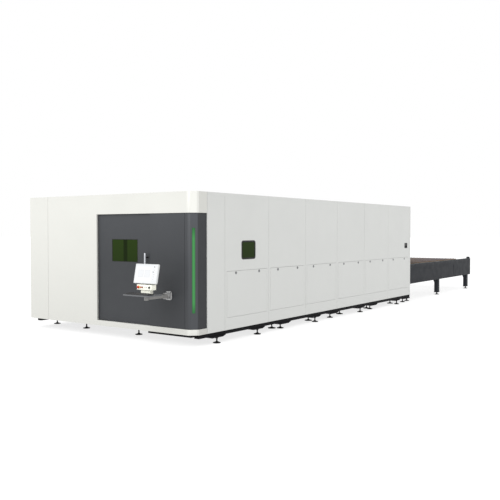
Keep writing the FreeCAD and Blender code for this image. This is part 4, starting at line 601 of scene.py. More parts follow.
def bare_metal(name, base, roughness, lay, relief=0.00006):
    """Ground or drawn metal: noise drawn out along the lay gives its scratches."""
    f = Finish(name, roughness, 1.0)
    streaks = f.noise(1.0, 4.0, place=f.stretched(lay))
    f.paint(f.blend(f.fade(streaks, 0.3, 0.7), toned(base, 0.86), toned(base, 1.08)))
    f.rough(f.fade(streaks, 0.25, 0.75, roughness - 0.07, roughness + 0.1))
    f.bump(streaks, relief, 0.4)
    return f.material


@finish
def ground_rail(name):
    """Ground steel of the long rails and racks, with its lay along Y."""
    return bare_metal(name, (0.62, 0.62, 0.63), 0.24, (900.0, 3.0, 900.0))


@finish
def ground_cross_rail(name):
    """Ground steel of the gantry's rails, with its lay along X."""
    return bare_metal(name, (0.62, 0.62, 0.63), 0.24, (3.0, 900.0, 900.0))


@finish
def block_steel(name):
    """Dark ground steel of the guide blocks and the locks."""
    return bare_metal(name, (0.22, 0.225, 0.23), 0.36, (220.0, 60.0, 220.0))


@finish
def zinc_plate(name):
    """Zinc-plated folded steel with a faint crystal mottle."""
    f = Finish(name, 0.36, 1.0)
    cells = f.put("TexVoronoi", {"Vector": f.place, "Scale": 90.0}, output="Color")
    share = f.put("SeparateColor", {"Color": cells})
    f.paint(f.blend(share, (0.50, 0.51, 0.52), (0.62, 0.63, 0.64)))
    f.rough(f.fade(share, 0.0, 1.0, 0.30, 0.44))
    f.bump(f.noise(300.0, 3.0), 0.0001, 0.2)
    return f.material


@finish
def black_oxide(name):
    """Blackened steel of feet, studs and screws, oily and slightly mottled."""
    f = Finish(name, 0.4, 0.85)
    mottle = f.fade(f.noise(60.0, 5.0), 0.35, 0.7)
    f.paint(f.blend(mottle, (0.020, 0.020, 0.022), (0.055, 0.053, 0.052)))
    f.rough(f.fade(mottle, 0.0, 1.0, 0.34, 0.52))
    f.bump(f.noise(500.0, 2.0), 0.0001, 0.3)
    return f.material


@finish
def pallet_paint(name):
    """Dark primer of the pallets, splashed with fine slag on its upper faces."""
    f = Finish(name, 0.6, specular_ior_level=0.2)
    specks = f.put("TexVoronoi", {"Vector": f.place, "Scale": 210.0}, output="Distance")
    splash = f.math("MULTIPLY", f.fade(specks, 0.28, 0.12), f.fade(f.noise(7.0, 4.0), 0.5, 0.62))
    f.paint(f.blend(splash, (0.060, 0.058, 0.056), (0.21, 0.15, 0.10)))
    f.rough(f.fade(splash, 0.0, 1.0, 0.52, 0.75))
    f.bump(splash, 0.0006, 0.6)
    return f.material


@finish
def burnt_steel(name):
    """Slat steel: mill scale below, straw and blue heat tint under bright burnt tips.

    The height on a slat is the remainder of Z over the decks' pitch, so that both
    decks share it."""
    f = Finish(name, 0.7, 0.15, specular_ior_level=0.2)
    low, high = span("inner_slats")
    pitch = span("outer_slats")[0][Z] - low[Z]
    slack = 0.001
    decks = {0: f.along(Z), 1: low[Z] + pitch - slack, 2: low[Z] - slack}
    rise = f.put("Math", decks, operation="WRAP")
    wander = f.fade(f.noise(28.0, 4.0), 0.0, 1.0, -0.008, 0.008)
    heat = f.math("ADD", rise, wander)
    top = high[Z]
    scale = f.blend(f.noise(45.0, 5.0), (0.045, 0.042, 0.042), (0.115, 0.100, 0.088))
    straw = f.blend(f.fade(heat, top - 0.030, top - 0.014), scale, (0.24, 0.155, 0.075))
    blue = f.blend(f.fade(heat, top - 0.016, top - 0.009), straw, (0.085, 0.085, 0.12))
    f.paint(f.blend(f.fade(heat, top - 0.008, top + 0.002), blue, (0.40, 0.36, 0.32)))
    spatter = f.put("TexVoronoi", {"Vector": f.place, "Scale": 300.0}, output="Distance")
    beads = f.math("MULTIPLY", f.fade(spatter, 0.30, 0.10), f.fade(heat, top - 0.034, top - 0.010))
    f.rough(f.fade(f.noise(80.0, 3.0), 0.3, 0.7, 0.60, 0.82))
    f.bump(beads, 0.0012, 0.7)
    return f.material


@finish
def drive_enamel(name):
    """Blue-grey enamel of the pallet drive."""
    return powder_coat(name, (0.045, 0.085, 0.14), 0.4, grain=420.0)


@finish
def cast_grey(name):
    """Painted casting of the console's arm: sand texture under satin paint."""
    f = Finish(name, 0.42)
    base = paints().console
    sand = f.noise(240.0, 4.0)
    f.paint(f.blend(f.noise(8.0, 3.0), toned(base, 0.92), toned(base, 1.05)))
    f.rough(f.fade(sand, 0.3, 0.7, 0.36, 0.5))
    f.bump(sand, 0.0004, 0.35)
    return f.material


@finish
def bracket_silver(name):
    """Silver paint of the wall bracket, with fine flake."""
    f = Finish(name, 0.34, 0.35)
    flake = f.put("TexVoronoi", {"Vector": f.place, "Scale": 1500.0}, output="Color")
    share = f.put("SeparateColor", {"Color": flake})
    f.paint(f.blend(share, (0.36, 0.36, 0.36), (0.48, 0.48, 0.48)))
    f.bump(f.noise(300.0, 3.0), 0.0002, 0.25)
    return f.material


@finish
def tray_grey(name):
    """Dark grey coat of the keyboard tray and the mast."""
    return powder_coat(name, (0.11, 0.113, 0.12), 0.42, shine=0.3)


@finish
def control_cream(name):
    """Cream coat of the control box and its neck."""
    return powder_coat(name, paints().control, 0.4, cloud=0.02)


@finish
def handle_anodised(name):
    """Satin anodised tube, drawn along Z."""
    return bare_metal(name, (0.50, 0.51, 0.54), 0.36, (700.0, 700.0, 5.0))


@finish
def head_anodised(name):
    """Clear-anodised alloy of the cutting head with fine milling marks."""
    return bare_metal(name, (0.70, 0.71, 0.73), 0.28, (25.0, 25.0, 900.0))


@finish
def turned_brass(name):
    """Brass of the nozzle, with the fine rings of its turning."""
    return bare_metal(name, (0.78, 0.55, 0.24), 0.22, (40.0, 40.0, 2500.0))


def moulded(name, base, roughness, grain=900.0, relief=0.00012):
    """Moulded plastic with a spark-eroded grain."""
    f = Finish(name, roughness)
    grains = f.noise(grain, 2.0)
    f.paint(f.blend(f.noise(14.0, 3.0), toned(base, 0.95), toned(base, 1.05)))
    f.rough(f.fade(grains, 0.3, 0.7, roughness - 0.06, roughness + 0.08))
    f.bump(grains, relief, 0.4)
    return f.material


@finish
def black_plastic(name):
    """Satin black of cases, collars and knobs."""
    return moulded(name, (0.014, 0.014, 0.015), 0.42)


@finish
def key_plastic(name):
    """Finer, duller black of the keys."""
    return moulded(name, (0.020, 0.020, 0.022), 0.5, grain=1600.0)


@finish
def rubber(name):
    """Matt black rubber with dusty bloom."""
    f = Finish(name, 0.78)
    bloom = f.fade(f.noise(22.0, 5.0), 0.4, 0.8, 0.0, 0.5)
    f.paint(f.blend(bloom, (0.010, 0.010, 0.010), (0.030, 0.030, 0.031)))
    f.bump(f.noise(700.0, 2.0), 0.00015, 0.3)
    return f.material


@finish
def monitor_plastic(name):
    """Pale grey of the monitor's case."""
    return moulded(name, (0.58, 0.59, 0.59), 0.4)


CAP_GRAIN = {"grain": 1200.0, "relief": 0.00005}


@finish
def stop_red(name):
    """Red of the stop button's mushroom."""
    return moulded(name, (0.50, 0.010, 0.009), 0.3, **CAP_GRAIN)


@finish
def start_orange(name):
    """Orange of the start button's lens."""
    return moulded(name, (0.60, 0.13, 0.012), 0.28, **CAP_GRAIN)


@finish
def reset_red(name):
    """Dark red of the reset button's lens."""
    return moulded(name, (0.45, 0.035, 0.014), 0.28, **CAP_GRAIN)


@finish
def signal_yellow(name):
    """Yellow of the ring behind the stop button."""
    return moulded(name, (0.80, 0.50, 0.02), 0.35)


def laser_glass(name, shade_band=None):
    """Absorbing filter glass: deep green, paler towards its upper edge, with a darker strip of
    painted shade where something stands behind it."""
    f = Finish(name, 0.10, ior=1.5, specular_ior_level=0.05)
    base = paints().glass
    depth = f.blend(f.fade(f.along(Z), 1.2, 1.58), toned(base, 0.82), toned(base, 1.25))
    haze = f.blend(f.noise(6.0, 3.0), toned(base, 0.9), toned(base, 1.1))
    mixed = f.blend(0.4, depth, haze)
    if shade_band:
        # Painted shade where the post stands behind the glass.
        mixed = f.blend(f.between(f.along(X), *shade_band), mixed, toned(base, 0.46))
    f.paint(mixed)
    f.bump(f.noise(3.0, 1.0), 0.0006, 0.08)
    return f.material


@finish
def side_glass(name):
    """The side window's filter glass, without a band."""
    return laser_glass(name)


@finish
def door_glass(name):
    """Door's filter glass with the mullion behind it painted in as a dark strip of shade."""
    low, high = span("door_window")
    centre = (low[X] + high[X]) / 2 + sizes().mullion_shade_offset
    half = sizes().mullion_shade_width / 2
    return laser_glass(name, (centre - half, centre + half))


@finish
def lamp_green(name):
    """Milk-glass diffuser lit from behind: brightest along its middle and dim at its
    ends; the share across the bar is the dot product with the chamfer's direction."""
    f = Finish(name, 0.35, specular_ior_level=0.1)
    low, high = span("led_strip")
    centre = (low + high) / 2
    chamfer = (math.sqrt(0.5), math.sqrt(0.5), 0.0)
    away = f.put("VectorMath", {0: f.place, 1: tuple(centre)}, operation="SUBTRACT")
    across = f.put("VectorMath", {0: away, 1: chamfer}, output="Value", operation="DOT_PRODUCT")
    edge = f.fade(f.math("ABSOLUTE", across), 0.004, 0.022)
    ends = f.math("ABSOLUTE", f.math("SUBTRACT", f.along(Z), centre[Z]))
    reach = (high[Z] - low[Z]) / 2
    lit = f.fade(ends, reach - 0.16, reach - 0.01, 1.0, 0.35)
    bar = f.blend(edge, paints().lamp, toned(paints().lamp, 0.62))
    f.glow(f.blend(lit, (0.008, 0.05, 0.015), bar), 1.0)
    f.paint((0.010, 0.040, 0.014))
    f.bump(f.noise(90.0, 2.0), 0.0003, 0.2)
    return f.material


@finish
def screen_glass(name):
    """Lit screen from its own UV: a pale drawing field with a grid, a darker column of
    soft keys at the right, a title strip and a foot strip."""
    f = Finish(name, 0.18, coat_weight=0.4, coat_roughness=0.05)
    place = f.put("UVMap", uv_map="face")
    u = f.put("SeparateXYZ", {"Vector": place}, output=0)
    v = f.put("SeparateXYZ", {"Vector": place}, output=1)

    def inside(left, right, low, high):
        return f.math("MULTIPLY", f.between(u, left, right), f.between(v, low, high))

    def patch(colour, under, *bounds):
        return f.blend(inside(*bounds), under, colour)

    white, pale = (0.97, 0.98, 0.99), (0.90, 0.92, 0.94)
    grey, ink = (0.50, 0.52, 0.54), (0.20, 0.21, 0.23)
    field = (0.02, 0.78, 0.09, 0.90)
    look = patch(white, pale, *field)
    squares = {"Vector": place, "Color1": (1, 1, 1, 1), "Color2": (1, 1, 1, 1),
               "Mortar": (0, 0, 0, 1), "Scale": 16.0, "Mortar Size": 0.012}
    fine = f.put("TexBrick", squares, offset=0.0)
    lines = f.math("SUBTRACT", 1.0, f.put("SeparateColor", {"Color": fine}))
    grid = f.math("MULTIPLY", lines, inside(*field))
    look = f.blend(f.math("MULTIPLY", grid, 0.12), look, grey)
    look = patch(pale, look, 0.0, 1.0, 0.955, 1.0)
    for row in range(6):
        low = 0.80 - row * 0.125
        look = patch(white, look, 0.81, 0.97, low, low + 0.09)
        look = patch(grey, look, 0.83, 0.90 - 0.01 * (row % 3), low + 0.035, low + 0.055)
    for column in range(5):
        left = 0.03 + column * 0.15
        look = patch(white, look, left, left + 0.12, 0.015, 0.065)
    for left, low in ((0.84, 0.865), (0.80, 0.585)):
        look = patch(ink, look, left, left + 0.035, low, low + 0.055)
    for left, right, low, high in ((0.14, 0.38, 0.32, 0.70), (0.44, 0.68, 0.32, 0.70)):
        look = patch(grey, look, left, right, low, high)
        look = patch(pale, look, left + 0.003, right - 0.003, low + 0.005, high - 0.005)
    f.glow(look, 0.95)
    f.paint((0.03, 0.03, 0.03))
    f.bump(f.noise(4.0, 1.0), 0.0002, 0.05)
    return f.material


@finish
def pale_floor(name):
    """Plain pale studio floor, which glows enough for the shadows on it to stay soft."""
    f = Finish(name, 0.9, specular_ior_level=0.1)
    f.paint(f.blend(f.noise(0.4, 2.0), (0.27, 0.27, 0.27), (0.30, 0.30, 0.30)))
    f.glow((1.0, 1.0, 1.0), 0.76)
    return f.material


# ------------------------------------------------------------------ places read from the frame
def islands(node):
    """Lowest and highest corner of each separate solid of a frame node.

    Corners that agree to five decimals are one corner, and each triangle hands its
    lowest label to its corners until no label changes."""
    mesh = frame["nodes"][node].data
    points = np.empty(len(mesh.vertices) * 3)
    mesh.vertices.foreach_get("co", points)
    points = points.reshape(-1, 3)
    corners = np.empty(len(mesh.loops), int)
    mesh.loops.foreach_get("vertex_index", corners)
    same = np.unique(points.round(5), axis=0, return_inverse=True)[1].reshape(-1)
    triangles = same[corners].reshape(-1, 3)
    label = np.arange(same.max() + 1)
    settled = False
    while not settled:
        lowest = np.repeat(label[triangles].min(1), 3)
        after = label.copy()
        np.minimum.at(after, triangles.ravel(), lowest)
        settled = bool((after == label).all())
        label = after
    owner = label[same]
    return [(points[owner == k].min(0), points[owner == k].max(0)) for k in np.unique(owner)]


def hinge_place(joint):
    """Position of a joint of the frame."""
    return np.array(next(j["pos_m"] for j in frame["joints"] if j["name"] == joint))


def softened(node, width):
    """Rounds the folds of a frame node: its corners are welded, its flats made whole, and
    its edges bevelled."""
    obj = frame["nodes"][node]
    weld = obj.modifiers.new("Weld", "WELD")
    weld.merge_threshold = WELD_REACH
    flats = obj.modifiers.new("Flats", "DECIMATE")
    flats.decimate_type = "DISSOLVE"
    flats.angle_limit = FLAT_ANGLE
    bevel = obj.modifiers.new("Folds", "BEVEL")
    bevel.width = width
    bevel.segments = FOLD_STEPS
    bevel.limit_method = "ANGLE"
    bevel.angle_limit = FOLD_ANGLE
    bevel.harden_normals = True


def rotation(angle, axis):
    """Turn by an angle about the axis of the given letter."""
    return np.array(Matrix.Rotation(angle, 3, axis))


def socket_screw(radius, axis=Y, side=-1):
    """Cap screw's head with a hexagon socket: a turned rim that steps down into a pit,
    its head towards the given side of the axis."""
    height = radius * 1.1
    rim = [(radius, 0.0), (radius, height * 0.8), (radius * 0.86, height),
           (radius * 0.56, height), (radius * 0.50, height * 0.9), (radius * 0.46, height * 0.45)]
    return turned([(r, side * h) for r, h in rim], segments=12, axis=axis)


# ------------------------------------------------------------------ operators
class CUTTER_OT_enclosure(bpy.types.Operator):
    """Finishes the enclosure's sheets, frame, guides and base, and softens the sheets' folds"""

    bl_idname = "cutter.enclosure"
    bl_label = "Enclosure Sheets"

    def execute(self, context):
        access = ["access_panel_%d" % (i + 1) for i in range(ACCESS_COUNT)]
        sheets = ((front_powder, ["front_surround", "front_end_panel"]),
                  (white_powder, ["side_panels", "left_side_panels", "roof_panels", "rear_panel"]
                   + access),
                  (corner_powder_and_painted_light, ["corner_cover"]),
                  (dark_powder, ["console_panel", "sliding_door", "rear_door"]))
        for powder, nodes in sheets:
            finish_node(powder(), *nodes)
            for node in nodes:
                softened(node, sizes().fold)
        finish_node(frame_paint(), "enclosure_frame")
        finish_node(zinc_plate(), "rear_door_guides", "door_track", "door_rollers")
        finish_node(base_paint(), "base_frame")
        return {"FINISHED"}


class CUTTER_OT_machine(bpy.types.Operator):
    """Finishes the bed, the gantry, the cabinets inside and the changer's frame"""

    bl_idname = "cutter.machine"
    bl_label = "Machine Inside"

    def execute(self, context):
        finish_node(bed_paint(), "bed_frame")
        finish_node(ground_rail(), "bed_rails")
        finish_node(ground_cross_rail(), "cross_rails")
        finish_node(gantry_enamel(), "gantry_beam", "carriage")
        finish_node(block_steel(), "gantry_blocks")
        finish_node(unit_paint(), "laser_source", "electrical_cabinet")
        finish_node(changer_paint(), "table_frame")
        finish_node(pallet_paint(), "inner_pallet", "outer_pallet")
        finish_node(drive_enamel(), "exchange_drive")
        finish_node(head_anodised(), "cutting_head")
        finish_node(turned_brass(), "nozzle")
        for node in ("table_frame", "base_frame", "bed_frame", "gantry_beam", "carriage",
                     "cutting_head"):
            softened(node, sizes().fold)
        return {"FINISHED"}


class CUTTER_OT_slats(bpy.types.Operator):
    """Cuts the slats of both pallets to saw teeth"""

    bl_idname = "cutter.slats"
    bl_label = "Toothed Slats"

    def execute(self, context):
        for node, body in (("inner_slats", "lower_pallet"), ("outer_slats", "upper_pallet")):
            plates = islands(node)
            places = np.array([[0.0, (low[Y] + high[Y]) / 2, 0.0] for low, high in plates])
            shape = copies(toothed_slat(*plates[0]), places)
            piece(node[:5] + "_toothed_slats", shape, body, burnt_steel(), [node],
                  smooth=20)
        return {"FINISHED"}


def toothed_slat(low, high):
    """One slat about the plane Y = 0: a strip whose upper edge climbs and falls by the
    tooth depth over each pitch, a short flat on each tip and in each notch."""
    pitch, depth = sizes().tooth_pitch, sizes().tooth_depth
    teeth = int((high[X] - low[X]) / pitch)
    start = (low[X] + high[X]) / 2 - teeth * pitch / 2
    share = np.array([0.0, 0.10, 0.44, 0.56, 0.90])
    x = (start + pitch * (np.arange(teeth)[:, None] + share)).ravel()
    top = high[Z] - depth * np.tile([1.0, 1.0, 0.0, 0.0, 1.0], teeth)
    x = np.concatenate([[low[X]], x, [high[X]]])
    rise = np.concatenate([[top[0]], top, [top[-1]]]) - low[Z]
    half = (high[Y] - low[Y]) / 2
    ring = [(-half, 0), (half, 0), (half, 1), (-half, 1)]
    return lofted(np.stack([np.stack([x, 0 * x + y, low[Z] + up * rise], -1)
                            for y, up in ring], 1))


class CUTTER_OT_feet(bpy.types.Operator):
    """Turns the levelling feet: pad, crown, threaded stud and locknut"""

    bl_idname = "cutter.feet"
    bl_label = "Levelling Feet"

    def execute(self, context):
        feet = [levelling_foot(low, high) for low, high in islands("levelling_feet")]
        piece("turned_feet", joined(*feet), "root", black_oxide(),
              ["levelling_feet"])
        return {"FINISHED"}


def levelling_foot(low, high):
    """Foot between its box's corners: a turned pad with a rounded rim and a dished
    crown, a thread of ridges one pitch apart, and a hexagon nut under the frame."""
    radius, tall = (high[X] - low[X]) / 2, high[Z] - low[Z]
    stud, pitch = sizes().stud_radius, sizes().thread_pitch
    root, thread_foot = stud * 0.87, 0.032
    pad = [(radius * 0.93, 0.0), (radius, 0.003), (radius, 0.009), (radius * 0.95, 0.0125),
           (radius * 0.62, 0.0155), (stud * 1.9, 0.024), (stud * 1.55, 0.028),
           (stud * 0.95, 0.030)]
    count = max(2, int((tall - thread_foot) / pitch))
    level = thread_foot + pitch * np.arange(2 * count) / 2
    ridge = np.tile([stud, root], count)
    foot = turned(pad + list(zip(ridge, level)) + [(root, tall)], segments=24)
    across, height, rim = stud * 1.8, 0.014, 0.0015
    corner = np.linspace(0, 2 * math.pi, 6, endpoint=False)
    hexagon = across * np.stack([np.cos(corner), np.sin(corner)], -1)
    rims = ((0.90, 0.0), (1.0, rim), (1.0, height - rim), (0.90, height))
    nut = lofted(raised(np.stack([hexagon * share for share, _ in rims]),
                        [tall - height + z for _, z in rims]))
    return moved(joined(foot, nut), [(low[X] + high[X]) / 2, (low[Y] + high[Y]) / 2, low[Z]])


class CUTTER_OT_windows(bpy.types.Operator):
    """Glazes the door and the side, with their rubber edging"""

    bl_idname = "cutter.windows"
    bl_label = "Windows"

    def execute(self, context):
        finish_node(door_glass(), "door_window")
        finish_node(side_glass(), "side_window")
        low, high = span("side_window")
        centre = (low + high) / 2
        wide, tall = (high - low)[[Y, Z]] - 2 * sizes().window_lap
        gasket = edging(wide, tall, sizes().window_radius, sizes().gasket_width,
                        sizes().gasket_height)
        at = (span("side_panels")[1][X], centre[Y], centre[Z])
        piece("side_window_gasket", moved(gasket, at, FACING_SIDE), "root", rubber(),
              smooth=60)
        low, high = span("door_window")
        centre = (low + high) / 2
        wide, tall = (high - low)[[X, Z]]
        seal = edging(wide, tall, radius=0.004, lip=sizes().seal_width, height=0.0022)
        at = (centre[X], span("sliding_door")[0][Y], centre[Z])
        piece("door_window_seal", moved(seal, at, FACING_FRONT), "door", rubber(),
              smooth=60)
        return {"FINISHED"}


def edging(width, tall, radius, lip, height):
    """Edging round a rounded opening in the plane of the first two axes: a half ellipse
    as wide as the lip is carried round the opening's edge, with a leg that goes back
    into the opening."""
    leg = 0.006
    path = rounded_outline(width, tall, radius, steps=8)
    out = path - np.sign(path) * (np.array([width, tall]) / 2 - radius)
    out /= np.linalg.norm(out, axis=1)[:, None]
    turn = np.linspace(0, math.pi, 9)
    inner = lip * 0.62
    bow = np.stack([lip / 2 * np.cos(turn) + lip / 2 - inner, height * np.sin(turn)], -1)
    section = np.concatenate([bow, [[-inner, -leg], [0.0, -leg], [0.0, 0.0]]])
    level = np.zeros(len(path))
    ups = np.broadcast_to([0.0, 0.0, 1.0], (len(path), 3))
    return carried(section, np.c_[path, level], np.c_[out, level], ups)


class CUTTER_OT_lamp(bpy.types.Operator):
    """Sets the milky diffuser of the status lamp into the corner"""

    bl_idname = "cutter.lamp"
    bl_label = "Status Lamp"

    def execute(self, context):
        low, high = span("led_strip")
        tall = high[Z] - low[Z] - 2 * sizes().lamp_flange
        width, deep = sizes().lamp_width, sizes().lamp_depth
        lap, flange = 0.012, 0.003
        rings = [(width + lap, tall + lap, 0.004, 0.0), (width + lap, tall + lap, 0.004, -flange),
                 (width, tall, 0.006, -flange), (width, tall, 0.006, -deep * 0.6),
                 (width * 0.94, tall - 0.003, 0.006, -deep * 0.86),
                 (width * 0.72, tall - 0.010, 0.006, -deep)]
        bar = moved(stacked(rings, 4, axis=Y), (low + high) / 2, rotation(math.pi / 4, "Z"))
        piece("lamp_diffuser", bar, "root", lamp_green(), ["led_strip"])
        return {"FINISHED"}


class CUTTER_OT_door_handle(bpy.types.Operator):
    """Builds the door's tubular pull with domed ends, stand-offs and rosettes"""

    bl_idname = "cutter.door_handle"
    bl_label = "Door Handle"

    def execute(self, context):
        low, high = span("door_handle")
        radius, tall = (high[X] - low[X]) / 2, high[Z] - low[Z]
        x, y = (low[X] + high[X]) / 2, low[Y] + radius
        crown = radius * 0.7
        top = dome(radius, crown, tall - crown)
        foot = [(r, tall - h) for r, h in top[::-1]]
        bar = moved(turned(foot + top), (x, y, low[Z]))
        reach = high[Y] - y
        stand = turned([(0.0102, 0.0), (0.0102, reach - 0.006), (0.0125, reach - 0.004),
                        (0.0140, reach - 0.0025), (0.0145, reach - 0.0015), (0.0145, reach)],
                       segments=24, axis=Y)
        inset = sizes().handle_inset
        stands = copies(stand, [(x, y, low[Z] + inset), (x, y, high[Z] - inset)])
        piece("door_pull", bar, "door", handle_anodised(), ["door_handle"])
        piece("door_pull_stands", stands, "door", black_oxide())
        return {"FINISHED"}


class CUTTER_OT_hardware(bpy.types.Operator):
    """Finishes the side latch and the panels' locks, and rings the locks"""

    bl_idname = "cutter.hardware"
    bl_label = "Locks and Latch"

    def execute(self, context):
        finish_node(black_plastic(), "side_latch")
        softened("side_latch", LATCH_FOLD)
        for number in range(1, ACCESS_COUNT + 1):
            locks = "access_locks_%d" % number
            finish_node(block_steel(), locks)
            softened(locks, LOCK_FOLD)
            skin = span("access_panel_%d" % number)[1][X]
            collars = [lock_collar(low, high, skin) for low, high in islands(locks)]
            piece("lock_collars_%d" % number, joined(*collars), "access_%d" % number,
                  black_plastic())
        return {"FINISHED"}


def lock_collar(low, high, skin):
    """Ring round a lock, standing off the panel's skin: a low turning with a rounded rim."""
    radius = (high[Y] - low[Y]) / 2
    profile = [(radius * 0.98, 0.0), (radius * 1.06, 0.0), (radius * 1.09, 0.0010),
               (radius * 1.05, 0.0022), (radius, 0.0026), (radius * 0.97, 0.0020)]
    at = (skin, (low[Y] + high[Y]) / 2, (low[Z] + high[Z]) / 2)
    return moved(turned(profile, segments=28, axis=X), at)


class CUTTER_OT_bracket(bpy.types.Operator):
    """Casts the console's wall bracket with its fork, pin and screws"""

    bl_idname = "cutter.bracket"
    bl_label = "Wall Bracket"

    def execute(self, context):
        low, high = span("console_bracket")
        arm_low, arm_high = span("console_arm")
        x, _, z = (low + high) / 2
        y = hinge_place("arm_swing")[Y]
        radius = (arm_high[X] - arm_low[X]) / 2
        thick, ear = sizes().bracket_plate, sizes().ear_thickness
        tall = high[Z] - low[Z] - 2 * sizes().bracket_relief
        face = high[Y] - thick
        plate = block((high[X] - low[X], thick, tall), (x, high[Y] - thick / 2, z),
                      corner=0.034, edge=0.003, axis=Y)
        foot, top = arm_low[Z] - CLEARANCE, arm_high[Z] + CLEARANCE
        ears = [fork_ear(x, y, face, radius, foot, -ear), fork_ear(x, y, face, radius, top, ear)]
        pin = turned([(sizes().pin_radius, foot), (sizes().pin_radius, top)], segments=24)
        cap = turned([(0.017, top + 0.010), (0.017, top + 0.0125), (0.012, top + 0.0145)],
                     segments=24)
        casting = joined(plate, *ears, moved(joined(pin, cap), (x, y, 0)))
        screw, inset, reach = 0.0065, 0.018, 0.044
        places = [(x + i, face, z + k) for i, k in four_corners(reach, tall / 2 - inset)]
        piece("wall_bracket", casting, "root", bracket_silver(),
              ["console_bracket"])
        piece("bracket_screws", copies(socket_screw(screw), places), "root", black_oxide())
        return {"FINISHED"}


def fork_ear(x, pivot_y, wall_y, radius, start, thick):
    """One ear of the fork: its outline runs straight from the wall and turns through
    half a circle round the pin, and both rims are rounded by drawing it in. A negative
    thickness builds it downwards."""
    turn = np.linspace(math.pi, 2 * math.pi, 17)
    arc = np.stack([radius * np.cos(turn), pivot_y + radius * np.sin(turn)], -1)
    flare, neck, root_y = radius * 1.25, radius * 1.04, wall_y - 0.012
    outline = np.concatenate([[[-flare, wall_y], [-neck, root_y]], arc,
                              [[neck, root_y], [flare, wall_y]]])
    centre = np.array([0.0, (pivot_y + wall_y) / 2])
    tall = abs(thick)
    levels = ((0.95, 0.0), (0.99, 0.0006), (1.0, 0.002), (1.0, tall - 0.003),
              (0.985, tall - 0.001), (0.94, tall))
    outlines = np.stack([centre + (outline - centre) * k + [x, 0] for k, _ in levels])
    outlines[:, [0, -1], Y] = wall_y
    return lofted(raised(outlines, [start + math.copysign(z, thick) for _, z in levels]))


class CUTTER_OT_arm(bpy.types.Operator):
    """Casts the console's swing arm: two hubs and a waisted beam between them"""

    bl_idname = "cutter.arm"
    bl_label = "Swing Arm"

    def execute(self, context):
        low, high = span("console_arm")
        near, far = hinge_place("console_swivel")[Y], hinge_place("arm_swing")[Y]
        x, _, z = (low + high) / 2
        radius, tall = (high[X] - low[X]) / 2, high[Z] - low[Z]
        bore = sizes().pin_radius
        hub = turned([(bore, 0.0), (radius - 0.003, 0.0), (radius - 0.0008, 0.0008),
                      (radius, 0.003), (radius, tall - 0.003), (radius - 0.0008, tall - 0.0008),
                      (radius - 0.003, tall), (bore, tall)], segments=40)
        hubs = copies(hub, [(x, near, low[Z]), (x, far, low[Z])])
        beam = moved(waisted_beam(near, far, radius, tall), (x, 0, z))
        piece("swing_arm_casting", joined(beam, hubs), "swing_arm", cast_grey(),
              ["console_arm"])
        return {"FINISHED"}


def waisted_beam(near, far, radius, tall):
    """Beam between two places on Y: its half width and height are scaled by one, less a
    tenth of a half sine, plus a share of the way along, and round the section the
    cosine and sine are raised to the power bulge, which squares it."""
    share = np.linspace(0, 1, 25)
    waist = 1 - 0.10 * np.sin(math.pi * share) ** 0.8 + 0.16 * share
    half_wide = np.minimum(radius * 0.97, radius * 0.86 * waist)
    half_tall = np.minimum(tall / 2 * 0.96, tall / 2 * 0.80 * waist)
    angle = np.linspace(0, 2 * math.pi, 28, endpoint=False)
    bulge = 0.62
    across, up = (np.sign(k) * np.abs(k) ** bulge for k in (np.cos(angle), np.sin(angle)))
    y = np.broadcast_to((near + share * (far - near))[:, None], (len(share), len(angle)))
    return lofted(np.stack([half_wide[:, None] * across, y, half_tall[:, None] * up], -1))


